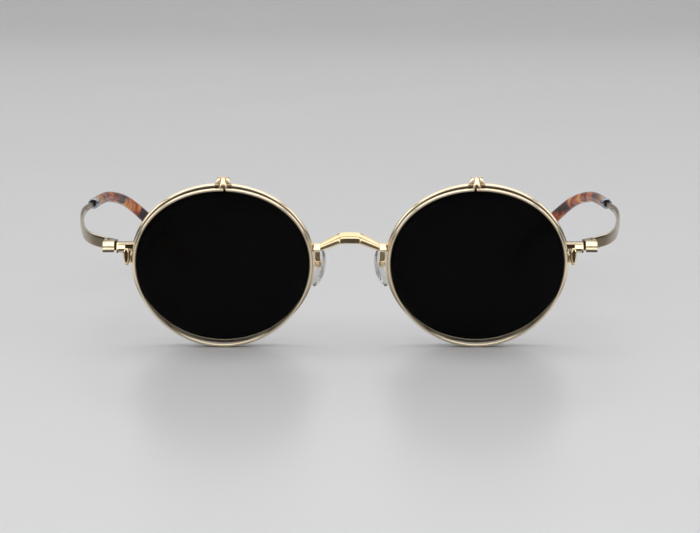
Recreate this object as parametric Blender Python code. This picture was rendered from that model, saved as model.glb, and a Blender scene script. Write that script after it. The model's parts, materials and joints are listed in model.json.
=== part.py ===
"""Round wire sunglasses whose front lenses flip up and whose temples fold.

X runs across the face, the front looks along -Y, the temples reach back along +Y and Z is up.
The glasses stand open on the bottoms of their rims and on the ends of their temple tips.
Every piece of the left side has a mirrored twin on the right side.
"""

import math

import bmesh
import bpy
from mathutils import Euler, Matrix, Vector

MM = 0.001

# Running and seating clearance between neighbours, and how far a cutter overruns.
GAP = 0.3 * MM
OVERRUN = 0.5 * MM

# Eyewires: sizes are measured on the centre line of the wire.
RIMS_APART = 20.0 * MM
RIM_WIDTH = 48.8 * MM
RIM_HEIGHT = 44.2 * MM
RIM_TURN = math.radians(2.4)
RIM_RADIAL = 1.3 * MM
RIM_AXIAL = 1.8 * MM
RIM_GROOVE = 0.6 * MM
RIM_GROOVE_WIDTH = 1.0 * MM
RIM_TILT = math.radians(9.0)

# Flip-up eyewires, which hang in front of the rims and are a little smaller.
FLIP_NARROWER = 1.8 * MM
FLIP_SHORTER = 1.2 * MM
FLIP_TURN = math.radians(1.0)
FLIP_RADIAL = 1.0 * MM
FLIP_AXIAL = 1.4 * MM
FLIP_GROOVE = 0.45 * MM
FLIP_GROOVE_WIDTH = 0.8 * MM
FLIP_FORWARD = 2.6 * MM
FLIP_TOP_STEP = 0.55 * MM
FLIP_REST_ANGLE = math.radians(2.4)

# Lenses.
LENS_THICKNESS = 1.8 * MM
FLIP_LENS_THICKNESS = 1.2 * MM
LENS_CURVE_RADIUS = 120.0 * MM
LENS_BEVEL = 0.3 * MM

# Flip hinge at the top of each rim.
FLIP_HINGE_SHIFT = 0.4 * MM
FLIP_HINGE_RISE = 1.8 * MM
FLIP_KNUCKLE_RADIUS = 0.9 * MM
FLIP_KNUCKLE_WIDTH = 0.98 * MM
FLIP_PIN_RADIUS = 0.32 * MM
FLIP_PIN_HEAD_RADIUS = 0.6 * MM
FLIP_PIN_HEAD = 0.35 * MM
FLIP_BRACKET_WALL = 0.7 * MM
FLIP_LEG_WIDTH = 0.75 * MM
FLIP_LEG_THICKNESS = 0.8 * MM
FLIP_LEG_SPREAD = 0.9 * MM

# Bridge bar, eight-sided, with a flat middle and sloping shoulders.
BRIDGE_FLAT = 5.2 * MM
BRIDGE_REACH = 7.9 * MM
BRIDGE_RISE = 7.5 * MM
BRIDGE_SHOULDER_DROP = 2.7 * MM
BRIDGE_BEND_RADIUS = 3.0 * MM
BRIDGE_BAR_HEIGHT = 2.5 * MM
BRIDGE_BAR_DEPTH = 2.3 * MM

# Lugs that join the bridge to the rims.
LUG_DEPTH = 1.8 * MM
LUG_HEIGHT = 2.0 * MM

# Endpieces, with the upper half of the rim lock and two hinge knuckles.
HINGE_RISE = 4.85 * MM
ENDPIECE_REACH = 3.7 * MM
ENDPIECE_BLOCK = 2.2 * MM
ENDPIECE_HEIGHT = 2.9 * MM
ENDPIECE_FORWARD = 1.3 * MM
ENDPIECE_FLANGE = 0.6 * MM
ENDPIECE_RECESS = 0.35 * MM
ENDPIECE_BAR_HEIGHT = 1.0 * MM
ENDPIECE_BAR_DEPTH = 2.2 * MM
ENDPIECE_LEAF = 1.3 * MM
BLOCK_EDGE = 0.25 * MM

# Rim locks: a split barrel beside the rim, with a screw from below.
LOCK_OUTWARD = 1.5 * MM
LOCK_FORWARD = 1.6 * MM
LOCK_RADIUS = 1.05 * MM
LOCK_UPPER_HEIGHT = 2.2 * MM
LOCK_LOWER_HEIGHT = 2.3 * MM
LOCK_SCREW_RADIUS = 0.4 * MM
LOCK_SCREW_HEAD_RADIUS = 0.7 * MM
LOCK_SCREW_HEAD = 0.45 * MM

# Temple hinges.
HINGE_BACK = 4.6 * MM
HINGE_SINK = 0.45 * MM
HINGE_KNUCKLE_RADIUS = 1.15 * MM
HINGE_KNUCKLE_HEIGHT = 0.7 * MM
HINGE_OUTER_KNUCKLE_HEIGHT = 0.45 * MM
HINGE_SCREW_RADIUS = 0.4 * MM
HINGE_SCREW_HEAD_RADIUS = 0.8 * MM
HINGE_SCREW_HEAD = 0.4 * MM
SCREW_SLOT_WIDTH = 0.25 * MM
SCREW_SLOT_DEPTH = 0.2 * MM

# Temples.
TEMPLE_BLOCK_WIDTH = 3.1 * MM
TEMPLE_BLOCK_HEIGHT = 3.1 * MM
TEMPLE_BLOCK_LENGTH = 6.4 * MM
TEMPLE_BUTT_GAP = 0.65 * MM
TEMPLE_REACH = 133.0 * MM
TEMPLE_BOW = 12.0 * MM
ARM_THICKNESS = 0.9 * MM
ARM_HEIGHT = 3.3 * MM
CORE_RADIUS = 0.65 * MM
CORE_REACH = 107.0 * MM
COLLAR_START = 78.0 * MM
COLLAR_LENGTH = 2.8 * MM
COLLAR_WALL = 0.6 * MM
TIP_HEIGHT = 3.2 * MM
TIP_THICKNESS = 2.8 * MM
TIP_END_HEIGHT = 4.0 * MM
TIP_END_RISE = 0.83 * MM

# Nose pads and what carries them.
PAD_X = 9.2 * MM
PAD_BACK = 7.7 * MM
PAD_DROP = 2.3 * MM
PAD_LENGTH = 10.6 * MM
PAD_WIDTH = 6.6 * MM
PAD_THICKNESS = 1.3 * MM
PAD_LEAN = math.radians(16.0)
PAD_SPLAY = math.radians(15.0)
PAD_BELOW_BOX = 1.3 * MM
PAD_TAB_LENGTH = 1.5 * MM
PAD_TAB_GAP = 0.22 * MM
PAD_BOX_SIZE = 1.7 * MM
PAD_BOX_WALL = 0.25 * MM
PAD_SCREW_GAP = 0.12 * MM
PAD_SCREW_RADIUS = 0.15 * MM
PAD_SCREW_HEAD_RADIUS = 0.45 * MM
PAD_SCREW_HEAD = 0.3 * MM
PAD_WIRE_RADIUS = 0.45 * MM

# How finely round shapes are divided.
RIM_STEPS = 48
ROUND_STEPS = 12
WIRE_SIDES = 10
THIN_WIRE_SIDES = 8
PATH_STEPS = 30
PAD_WIRE_STEPS = 14

# Shape of the temple seen from above and from the side: how far back along the reach, how far
# out as a share of the bow, and how far down as a share of the drop.
TEMPLE_SHARES = (
    (0.0, 0.0, 0.0),
    (0.057, 0.39, 0.0),
    (0.13, 0.64, 0.0),
    (0.22, 0.79, 0.0),
    (0.348, 0.945, 0.0),
    (0.467, 1.0, 0.0),
    (0.543, 0.93, 0.0),
    (0.6, 0.84, 0.0),
    (0.69, 0.68, 0.01),
    (0.745, 0.52, 0.05),
    (0.793, 0.36, 0.11),
    (0.834, 0.2, 0.19),
    (0.872, 0.01, 0.3),
    (0.904, -0.19, 0.42),
    (0.942, -0.52, 0.61),
    (0.972, -0.87, 0.8),
    (1.0, -1.29, 1.0),
)
# Where along a temple tip its height has changed to which share between plain and end height.
TIP_SWELL_SHARES = ((0.0, 0.0), (0.45, 0.0), (0.85, 1.0), (1.0, 0.85))
# How much wider an eyewire is above its middle than below it.
EGG_SHARE = 0.035
LENS_RING_SHARES = (0.55,)
RIM_LIP_SHARE = 0.8
BRIDGE_CORNER_SHARE = 0.42
FLIP_NECK_SHARE = 0.85
BRIDGE_TAPER_SHARES = ((0.0, 0.72), (0.35, 1.0), (0.65, 1.0), (1.0, 0.72))
PAD_ROUND_SHARES = ((0.0, 0.62), (0.22, 0.9), (0.5, 1.0), (0.8, 0.86), (1.0, 0.5))
# Where the pad wire bends: how far back and how far down on its way from the lug to the box.
PAD_WIRE_SHARES = ((0.17, 0.12), (0.56, 0.37), (0.9, 0.78))


def rim_half_width(up):
    """Half the width of the rim's centre line at a height above the lens centre."""
    rise = 2 * up / RIM_HEIGHT
    return RIM_WIDTH / 2 * math.sqrt(1 - rise**2) * (1 + EGG_SHARE * rise)


# Places that follow from the sizes above.
LENS_X = (RIMS_APART + RIM_WIDTH) / 2
FLIP_WIDTH = RIM_WIDTH - FLIP_NARROWER
FLIP_HEIGHT = RIM_HEIGHT - FLIP_SHORTER
LENS_Z = (RIM_HEIGHT / 2 + RIM_RADIAL / 2) * math.cos(RIM_TILT) + RIM_AXIAL / 2 * math.sin(RIM_TILT)
HINGE_Z = LENS_Z + HINGE_RISE
RIM_EDGE_X = LENS_X + rim_half_width(HINGE_RISE) + RIM_RADIAL / 2
ENDPIECE_EDGE_X = RIM_EDGE_X + ENDPIECE_REACH
HINGE_X = ENDPIECE_EDGE_X - HINGE_KNUCKLE_RADIUS
HINGE_SLOT = HINGE_KNUCKLE_HEIGHT / 2 + GAP
HINGE_MIDDLE_Z = HINGE_Z - HINGE_SINK
HINGE_TOP_Z = HINGE_MIDDLE_Z + HINGE_SLOT + HINGE_OUTER_KNUCKLE_HEIGHT
HINGE_BOTTOM_Z = HINGE_MIDDLE_Z - HINGE_SLOT - HINGE_OUTER_KNUCKLE_HEIGHT
TEMPLE_BLOCK_X = ENDPIECE_EDGE_X + TEMPLE_BUTT_GAP
ARM_X = TEMPLE_BLOCK_X + TEMPLE_BLOCK_WIDTH - ARM_THICKNESS
TEMPLE_DROP = HINGE_Z - TIP_END_RISE
LOCK_X = LENS_X + RIM_WIDTH / 2 + LOCK_OUTWARD
LOCK_TOP_Z = HINGE_Z + ENDPIECE_HEIGHT / 2 - ENDPIECE_BAR_HEIGHT
LOCK_SPLIT_Z = LOCK_TOP_Z - LOCK_UPPER_HEIGHT
FLIP_AXIS_UP = RIM_HEIGHT / 2 + FLIP_HINGE_RISE
FLIP_AXIS_FORWARD = FLIP_FORWARD / 2
PAD_PIVOT = Vector((PAD_X, PAD_BACK, -PAD_DROP))
HOLE_STEP = GAP * 0.9

GOLD = (0.90, 0.72, 0.44)
GOLD_DARK = (0.62, 0.47, 0.26)
LENS_TINT = (0.012, 0.012, 0.012)
TORTOISE = (0.30, 0.13, 0.05)
CLEAR = (0.85, 0.86, 0.84)


def clear_scene():
    """Remove what the startup scene holds."""
    for thing in list(bpy.data.objects):
        bpy.data.objects.remove(thing)


def give_material(thing, colour, metallic, roughness):
    """Give one object a material of its own."""
    material = bpy.data.materials.new(thing.name)
    material.use_nodes = True
    shader = material.node_tree.nodes["Principled BSDF"]
    shader.inputs["Base Color"].default_value = (*colour, 1)
    shader.inputs["Metallic"].default_value = metallic
    shader.inputs["Roughness"].default_value = roughness
    thing.data.materials.append(material)


FINISHES = {
    "gold": (GOLD, 1.0, 0.2),
    "screw": (GOLD_DARK, 1.0, 0.3),
    "tint": (LENS_TINT, 0.0, 0.05),
    "tortoise": (TORTOISE, 0.0, 0.25),
    "clear": (CLEAR, 0.0, 0.15),
}


def empty(name, parent, place, turn=(0, 0, 0)):
    """Add an empty that carries other objects."""
    holder = bpy.data.objects.new(name, None)
    holder.parent = parent
    holder.location = place
    holder.rotation_euler = turn
    holder.empty_display_size = RIM_RADIAL
    bpy.context.scene.collection.objects.link(holder)
    return holder


def add_object(name, shape, parent, hidden=False):
    """Turn a bmesh into an object under a parent."""
    mesh = bpy.data.meshes.new(name)
    bmesh.ops.recalc_face_normals(shape, faces=shape.faces)
    shape.to_mesh(mesh)
    shape.free()
    mesh.shade_smooth()
    mesh.set_sharp_from_angle(angle=math.radians(35))
    thing = bpy.data.objects.new(name, mesh)
    thing.parent = parent
    thing.hide_render = hidden
    if hidden:
        thing.display_type = "WIRE"
    bpy.context.scene.collection.objects.link(thing)
    return thing


def make(name, parent, side, finish, shape, joined=(), cut=()):
    """Make one piece from a shape, the shapes joined to it and the shapes cut from it."""
    thing = add_object(name, sided(shape, side), parent)
    steps = [("UNION", extra) for extra in joined] + [("DIFFERENCE", extra) for extra in cut]
    for number, (operation, extra) in enumerate(steps):
        tool = add_object(f"{name}_tool_{number}", sided(extra, side), parent, hidden=True)
        boolean = thing.modifiers.new(f"{operation.lower()} {number}", "BOOLEAN")
        boolean.operation = operation
        boolean.object = tool
        boolean.solver = "EXACT"
    give_material(thing, *FINISHES[finish])
    return thing


def sided(shape, side):
    """Mirror a shape for the right side."""
    if side < 0:
        bmesh.ops.scale(shape, vec=(-1, 1, 1), verts=shape.verts)
        bmesh.ops.reverse_faces(shape, faces=shape.faces)
    return shape


def loft(rings, closed=False):
    """Skin equal rings of points in turn, with flat ends unless the rings close on themselves."""
    shape = bmesh.new()
    loops = [[shape.verts.new(point) for point in ring] for ring in rings]
    pairs = list(zip(loops, loops[1:]))
    if closed:
        pairs.append((loops[-1], loops[0]))
    for near, far in pairs:
        for k in range(len(near)):
            after = (k + 1) % len(near)
            shape.faces.new((near[k], near[after], far[after], far[k]))
    if not closed:
        shape.faces.new(loops[0])
        shape.faces.new(reversed(loops[-1]))
    return shape


def rounded_box(low, high, edge=0):
    """A box between two corners, with its edges bevelled."""
    low = Vector(low)
    high = Vector(high)
    shape = bmesh.new()
    bmesh.ops.create_cube(shape, size=1)
    bmesh.ops.scale(shape, vec=high - low, verts=shape.verts)
    bmesh.ops.translate(shape, vec=(low + high) / 2, verts=shape.verts)
    if edge:
        bmesh.ops.bevel(
            shape, geom=shape.edges, offset=edge, segments=2, profile=0.5, affect="EDGES", material=-1
        )
    return shape


def prism(outline, depth):
    """A flat outline in the XZ plane, given depth along Y."""
    return loft([[Vector((x, y, z)) for x, z in outline] for y in (-depth / 2, depth / 2)])


def rod(radius, start, end, steps=ROUND_STEPS):
    """A round bar between two points."""
    start = Vector(start)
    end = Vector(end)
    turn = (end - start).to_track_quat("Z", "Y").to_matrix()
    rings = []
    for centre in (start, end):
        angles = [2 * math.pi * k / steps for k in range(steps)]
        rings.append([centre + turn @ Vector((math.cos(a), math.sin(a), 0)) * radius for a in angles])
    return loft(rings)


def smooth_path(points, steps):
    """Points spaced evenly along a Catmull-Rom curve through the given points."""
    points = [Vector(p) for p in points]
    line = [2 * points[0] - points[1]] + points + [2 * points[-1] - points[-2]]
    dense = []
    for a, b, c, d in zip(line, line[1:], line[2:], line[3:]):
        for k in range(ROUND_STEPS):
            t = k / ROUND_STEPS
            dense.append(
                (2 * b + (c - a) * t + (2 * a - 5 * b + 4 * c - d) * t**2 + (3 * b - a - 3 * c + d) * t**3) / 2
            )
    dense.append(points[-1])
    return evenly(dense, steps)


def line_length(line):
    """The length of a polyline."""
    return sum((b - a).length for a, b in zip(line, line[1:]))


def evenly(line, steps, start=0, end=None):
    """Points in equal steps along a polyline, between two distances from its start."""
    lengths = [0]
    for a, b in zip(line, line[1:]):
        lengths.append(lengths[-1] + (b - a).length)
    end = lengths[-1] if end is None else end
    found = []
    at = 0
    for k in range(steps + 1):
        want = start + (end - start) * k / steps
        while at < len(line) - 2 and lengths[at + 1] < want:
            at += 1
        share = (want - lengths[at]) / (lengths[at + 1] - lengths[at])
        found.append(line[at].lerp(line[at + 1], share))
    return found


def fillet(corners, radius, steps=5):
    """Round the inner corners of a polyline."""
    corners = [Vector(c) for c in corners]
    line = [corners[0]]
    for before, corner, after in zip(corners, corners[1:], corners[2:]):
        inward = (before - corner).normalized()
        outward = (after - corner).normalized()
        half = inward.angle(outward) / 2
        start = corner + inward * radius / math.tan(half)
        end = corner + outward * radius / math.tan(half)
        centre = corner + (inward + outward).normalized() * radius / math.sin(half)
        for k in range(steps + 1):
            spoke = (start - centre).lerp(end - centre, k / steps)
            line.append(centre + spoke.normalized() * radius)
    line.append(corners[-1])
    return line


def tangents(path):
    """The direction of travel at each point of a path."""
    ends = [path[0]] + path + [path[-1]]
    return [(after - before).normalized() for before, after in zip(ends, ends[2:])]


def sweep(path, section, up=Vector((0, 0, 1)), ends_face=None):
    """Rings of points that carry a section along a path. section gives (across, up) pairs at a share.

    The end rings lie square to the path, or to ends_face where that is given.
    """
    rings = []
    last = len(path) - 1
    for number, (point, along) in enumerate(zip(path, tangents(path))):
        stretch = 1
        if ends_face and number in (0, last):
            stretch = 1 / along.dot(ends_face)
            along = ends_face
        across = along.cross(up).normalized()
        over = across.cross(along).normalized() * stretch
        rings.append([point + across * a + over * b for a, b in section(number / last)])
    return rings


def oval(across, up, sides=WIRE_SIDES):
    """Points of an oval section, by its half sizes."""
    angles = [2 * math.pi * k / sides for k in range(sides)]
    return [(across * math.cos(a), up * math.sin(a)) for a in angles]


def blend_shares(table, share):
    """Read a table of (share, value) pairs between its rows."""
    for (low, first), (high, last) in zip(table, table[1:]):
        if share <= high:
            return first + (last - first) * (share - low) / (high - low)
    return table[-1][1]


def oval_ring(width, height, turn, start, span, steps):
    """Points and outward directions along a turned oval, wider above, in the XZ plane."""
    found = []
    spin = Matrix.Rotation(-turn, 3, "Y")
    for k in range(steps):
        angle = start + span * k / steps
        right = math.cos(angle)
        up = math.sin(angle)
        rise = up + EGG_SHARE * (up**2 - right**2)
        outward = Vector((right / width, 0, rise / height)).normalized()
        point = Vector((right * (1 + EGG_SHARE * up) * width, 0, up * height)) / 2
        found.append((spin @ point, spin @ outward))
    return found


def eyewire_section(radial, axial, groove, groove_width):
    """Outline of the wire: round outside, flat inside with a V groove, as (outward, back) pairs."""
    half = radial / 2
    depth = axial / 2
    lip = depth * RIM_LIP_SHARE
    outer = [
        (half * math.cos(a), depth * math.sin(a))
        for a in (math.radians(-90 + 45 * k) for k in range(5))
    ]
    inner = [
        (-half, lip),
        (-half, groove_width / 2),
        (-half + groove, 0),
        (-half, -groove_width / 2),
        (-half, -lip),
    ]
    return outer + inner


def eyewire(width, height, turn, section, split_angle):
    """An eyewire around the origin, cut through where its lock or hinge closes it."""
    slit = 2 * GAP / width
    start = split_angle + slit / 2
    span = 2 * math.pi - slit
    stations = oval_ring(width, height, turn, start, span * RIM_STEPS / (RIM_STEPS - 1), RIM_STEPS)
    back = Vector((0, 1, 0))
    return loft([[point + outward * a + back * b for a, b in section] for point, outward in stations])


def lens(width, height, turn, thickness):
    """A lens with a shallow dome and a pointed edge that sits in the eyewire's groove."""
    edge_drop = LENS_CURVE_RADIUS - math.sqrt(LENS_CURVE_RADIUS**2 - (width / 2) ** 2)

    def ring(share, back, grow=0):
        wide = width * share + grow
        tall = height * share + grow
        sag = LENS_CURVE_RADIUS - math.sqrt(LENS_CURVE_RADIUS**2 - (width / 2 * share) ** 2)
        points = oval_ring(wide, tall, turn, 0, 2 * math.pi, RIM_STEPS)
        return [point + Vector((0, back + sag - edge_drop, 0)) for point, outward in points]

    front = [ring(share, -thickness / 2) for share in LENS_RING_SHARES]
    back = [ring(share, thickness / 2) for share in reversed(LENS_RING_SHARES)]
    edge = [ring(1, -thickness / 2), ring(1, 0, 2 * LENS_BEVEL), ring(1, thickness / 2)]
    return loft(front + edge + back)


def headed_pin(radius, head_radius, head, length):
    """A screw that points down from the origin, with the seat of its head at zero."""
    shape = bmesh.new()
    rows = [(0, -length), (radius, -length), (radius, 0), (head_radius, 0), (head_radius, head), (0, head)]
    line = [shape.verts.new((r, 0, z)) for r, z in rows]
    edges = [shape.edges.new(pair) for pair in zip(line, line[1:])]
    bmesh.ops.spin(
        shape,
        geom=line + edges,
        cent=(0, 0, 0),
        axis=(0, 0, 1),
        angle=2 * math.pi,
        steps=ROUND_STEPS,
        use_merge=True,
    )
    bmesh.ops.remove_doubles(shape, verts=shape.verts, dist=OVERRUN / 1000)
    return shape


def slot_cutter(head_radius, head):
    """The bar that cuts a screwdriver slot in a screw's head."""
    reach = head_radius + OVERRUN
    half = SCREW_SLOT_WIDTH / 2
    return rounded_box((-reach, -half, head - SCREW_SLOT_DEPTH), (reach, half, head + OVERRUN))


def moved(shape, turn, place):
    """Turn and place a shape."""
    bmesh.ops.transform(shape, matrix=Matrix.Translation(place) @ turn.to_4x4(), verts=shape.verts)
    return shape


def make_screw(name, parent, side, sizes, turn, place):
    """A slotted screw whose head seats at a place."""
    radius, head_radius, head, length = sizes
    body = moved(headed_pin(radius, head_radius, head, length), turn, place)
    slot = moved(slot_cutter(head_radius, head), turn, place)
    return make(name, parent, side, "screw", body, cut=[slot])


def add_rim(tag, side, front):
    """The fixed eyewire and its lens."""
    at = Vector((LENS_X, 0, 0))
    section = eyewire_section(RIM_RADIAL, RIM_AXIAL, RIM_GROOVE, RIM_GROOVE_WIDTH)
    split = math.asin((LOCK_SPLIT_Z - LENS_Z) / (RIM_HEIGHT / 2)) - RIM_TURN
    wire = eyewire(RIM_WIDTH, RIM_HEIGHT, RIM_TURN, section, split)
    make(f"{tag}_rim", front, side, "gold", moved(wire, Matrix.Identity(3), at))
    inset = RIM_RADIAL + 2 * GAP
    glass = lens(RIM_WIDTH - inset, RIM_HEIGHT - inset, RIM_TURN, LENS_THICKNESS)
    make(f"{tag}_lens", front, side, "tint", moved(glass, Matrix.Identity(3), at))


def add_bridge(front):
    """The bridge bar across the nose."""
    top = BRIDGE_RISE
    low = top - BRIDGE_SHOULDER_DROP
    half = BRIDGE_FLAT / 2
    corners = [(-BRIDGE_REACH, 0, low), (-half, 0, top), (half, 0, top), (BRIDGE_REACH, 0, low)]
    path = fillet(corners, BRIDGE_BEND_RADIUS)

    def bar_section(share):
        size = blend_shares(BRIDGE_TAPER_SHARES, share)
        across = BRIDGE_BAR_DEPTH / 2 * size
        up = BRIDGE_BAR_HEIGHT / 2 * size
        facet = BRIDGE_CORNER_SHARE
        right = [(across, -up * facet), (across, up * facet), (across * facet, up)]
        left = [(-across * facet, up), (-across, up * facet), (-across, -up * facet)]
        return right + left + [(-across * facet, -up), (across * facet, -up)]

    make("bridge", front, 1, "gold", loft(sweep(path, bar_section, ends_face=Vector((1, 0, 0)))))


def rim_inner_x(up):
    """Where the nasal side of the rim's wire has its outer face, at a height above the lens centre."""
    return LENS_X - rim_half_width(up) - RIM_RADIAL / 2


def lug_corners():
    """Two opposite corners of the block between the end of the bridge and the rim."""
    middle = BRIDGE_RISE - BRIDGE_SHOULDER_DROP
    outer = rim_inner_x(middle - LUG_HEIGHT / 2) - GAP
    low = Vector((BRIDGE_REACH + GAP, -LUG_DEPTH / 2, middle - LUG_HEIGHT / 2))
    high = Vector((outer, LUG_DEPTH / 2, middle + LUG_HEIGHT / 2))
    return low, high


def add_lug(tag, side, front):
    """The block between the end of the bridge and the rim."""
    make(f"{tag}_bridge_lug", front, side, "gold", rounded_box(*lug_corners(), BLOCK_EDGE))


def upright(radius, x, y, low, high):
    """A round bar that stands upright between two heights."""
    return rod(radius, (x, y, low), (x, y, high))


def endpiece_body():
    """The shapes of an endpiece: flange, recessed block, bar to the rim, leaf, knuckles and lock half."""
    half = ENDPIECE_HEIGHT / 2
    top = HINGE_Z + half
    bottom = HINGE_Z - half
    flange_x = ENDPIECE_EDGE_X - ENDPIECE_FLANGE
    recess = ENDPIECE_FORWARD - ENDPIECE_RECESS
    flange = rounded_box(
        (flange_x, -ENDPIECE_FORWARD, bottom), (ENDPIECE_EDGE_X, ENDPIECE_FORWARD, top), BLOCK_EDGE / 2
    )
    block = rounded_box(
        (ENDPIECE_EDGE_X - ENDPIECE_BLOCK, -recess, bottom + BLOCK_EDGE),
        (flange_x + ENDPIECE_FLANGE / 2, recess, top - BLOCK_EDGE),
    )
    bar = rounded_box(
        (RIM_EDGE_X + GAP, -ENDPIECE_BAR_DEPTH / 2, top - ENDPIECE_BAR_HEIGHT),
        (flange_x + ENDPIECE_FLANGE / 2, ENDPIECE_BAR_DEPTH / 2, top - BLOCK_EDGE / 2),
    )
    leaf = rounded_box((HINGE_X - ENDPIECE_LEAF, 0, HINGE_BOTTOM_Z), (HINGE_X, HINGE_BACK, HINGE_TOP_Z))
    knuckles = upright(HINGE_KNUCKLE_RADIUS, HINGE_X, HINGE_BACK, HINGE_BOTTOM_Z, HINGE_TOP_Z)
    lock = upright(
        LOCK_RADIUS, LOCK_X, -LOCK_FORWARD, LOCK_SPLIT_Z + GAP / 2, LOCK_TOP_Z + ENDPIECE_BAR_HEIGHT / 2
    )
    return flange, [block, bar, leaf, knuckles, lock]


def add_endpiece(tag, side, base):
    """The endpiece, with the slot for the temple's knuckle and the holes for its two screws."""
    body, joined = endpiece_body()
    low = HINGE_MIDDLE_Z - HINGE_SLOT
    high = HINGE_MIDDLE_Z + HINGE_SLOT
    slot = upright(HINGE_KNUCKLE_RADIUS + GAP, HINGE_X, HINGE_BACK, low, high)
    low = HINGE_BOTTOM_Z - OVERRUN
    high = HINGE_TOP_Z + OVERRUN
    hinge_hole = upright(HINGE_SCREW_RADIUS + HOLE_STEP, HINGE_X, HINGE_BACK, low, high)
    lock_hole = upright(
        LOCK_SCREW_RADIUS + HOLE_STEP, LOCK_X, -LOCK_FORWARD, LOCK_SPLIT_Z - OVERRUN, LOCK_TOP_Z
    )
    make(f"{tag}_endpiece", base, side, "gold", body, joined=joined, cut=[slot, hinge_hole, lock_hole])


def add_rim_lock(tag, side, base):
    """The lower half of the rim lock and its screw."""
    top = LOCK_SPLIT_Z - GAP / 2
    bottom = top - LOCK_LOWER_HEIGHT
    barrel = upright(LOCK_RADIUS, LOCK_X, -LOCK_FORWARD, bottom, top)
    hole = upright(LOCK_SCREW_RADIUS + HOLE_STEP, LOCK_X, -LOCK_FORWARD, bottom - OVERRUN, top + OVERRUN)
    make(f"{tag}_rim_lock", base, side, "gold", barrel, cut=[hole])
    seat = bottom - GAP
    sizes = (LOCK_SCREW_RADIUS, LOCK_SCREW_HEAD_RADIUS, LOCK_SCREW_HEAD, LOCK_TOP_Z - GAP - seat)
    over = Matrix.Rotation(math.radians(180), 3, "X")
    make_screw(f"{tag}_rim_screw", base, side, sizes, over, Vector((LOCK_X, -LOCK_FORWARD, seat)))


def add_temple(tag, side, base):
    """The folding temple: hinge block, arm with its core wire, collar, tip and hinge screw."""
    pivot = Vector((HINGE_X, HINGE_BACK, HINGE_MIDDLE_Z))
    place = Vector((side * pivot.x, pivot.y, pivot.z))
    axis = empty(f"{tag}_temple_axis", base, place)
    low = Vector((TEMPLE_BLOCK_X, -ENDPIECE_FORWARD, HINGE_Z - TEMPLE_BLOCK_HEIGHT / 2)) - pivot
    size = Vector((TEMPLE_BLOCK_WIDTH, TEMPLE_BLOCK_LENGTH, TEMPLE_BLOCK_HEIGHT))
    block = rounded_box(low, low + size, BLOCK_EDGE)
    half = HINGE_KNUCKLE_HEIGHT / 2
    knuckle = rod(HINGE_KNUCKLE_RADIUS, (0, 0, -half), (0, 0, half))
    reach = TEMPLE_BLOCK_X + OVERRUN - HINGE_X
    tongue = rounded_box((0, -HINGE_KNUCKLE_RADIUS + GAP, -half), (reach, HINGE_KNUCKLE_RADIUS - GAP, half))
    hole = rod(HINGE_SCREW_RADIUS + HOLE_STEP, (0, 0, -half - OVERRUN), (0, 0, half + OVERRUN))
    make(f"{tag}_temple_block", axis, side, "gold", block, joined=[tongue, knuckle], cut=[hole])
    add_arm(tag, side, axis, pivot)


def temple_line(pivot):
    """The temple's centre line from the back of its block to the end of its tip."""
    start_y = TEMPLE_BLOCK_LENGTH - ENDPIECE_FORWARD + GAP
    points = []
    for back, out, down in TEMPLE_SHARES:
        point = Vector((ARM_X + TEMPLE_BOW * out, start_y + TEMPLE_REACH * back, HINGE_Z - TEMPLE_DROP * down))
        points.append(point - pivot)
    return smooth_path(points, 3 * PATH_STEPS)


def add_arm(tag, side, axis, pivot):
    """The arm, its collar and its tip."""
    line = temple_line(pivot)
    arm = evenly(line, PATH_STEPS, 0, CORE_REACH)
    flat_share = (COLLAR_START - ARM_HEIGHT) / CORE_REACH

    def arm_section(share):
        thin = min(share / flat_share, 1) ** 3
        across = ARM_THICKNESS / 2 + (CORE_RADIUS - ARM_THICKNESS / 2) * thin
        up = ARM_HEIGHT / 2 + (CORE_RADIUS - ARM_HEIGHT / 2) * thin
        return oval(across, up)

    make(f"{tag}_temple_arm", axis, side, "gold", loft(sweep(arm, arm_section)))
    bore = CORE_RADIUS + GAP
    collar_line = evenly(line, 2, COLLAR_START, COLLAR_START + COLLAR_LENGTH)
    outside = sweep(collar_line, lambda share: oval(bore + COLLAR_WALL, bore + COLLAR_WALL))
    inside = sweep(collar_line, lambda share: oval(bore, bore))
    make(f"{tag}_tip_collar", axis, side, "gold", loft(outside + inside[::-1], closed=True))
    add_tip(tag, side, axis, line, bore)


def add_tip(tag, side, axis, line, bore):
    """The sleeve over the end of the arm, with a blind bore for the core wire."""
    start = COLLAR_START + COLLAR_LENGTH + GAP
    outer_line = evenly(line, PATH_STEPS, start, line_length(line))
    bore_line = evenly(line, PATH_STEPS // 2, start, CORE_REACH + GAP)

    def tip_section(share):
        swell = blend_shares(TIP_SWELL_SHARES, share)
        up = (TIP_HEIGHT + (TIP_END_HEIGHT - TIP_HEIGHT) * swell) / 2
        round_off = math.sqrt(max(1 - max(share * PATH_STEPS - PATH_STEPS + 2, 0) ** 2 / 5, 0))
        return oval(TIP_THICKNESS / 2 * round_off, up * round_off, WIRE_SIDES + 2)

    outside = sweep(outer_line, tip_section)
    inside = sweep(bore_line, lambda share: oval(bore, bore, WIRE_SIDES + 2))
    make(f"{tag}_temple_tip", axis, side, "tortoise", loft(inside[::-1] + outside))


def add_hinge_screw(tag, side, base):
    """The screw through the temple hinge, put in from below."""
    seat = HINGE_BOTTOM_Z - GAP
    sizes = (HINGE_SCREW_RADIUS, HINGE_SCREW_HEAD_RADIUS, HINGE_SCREW_HEAD, HINGE_TOP_Z - seat)
    over = Matrix.Rotation(math.radians(180), 3, "X")
    make_screw(f"{tag}_hinge_screw", base, side, sizes, over, Vector((HINGE_X, HINGE_BACK, seat)))


def flip_axis_place():
    """Where the flip hinge's axis is, in the frame of the front."""
    return Vector((LENS_X - FLIP_HINGE_SHIFT, -FLIP_AXIS_FORWARD, FLIP_AXIS_UP))


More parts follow.
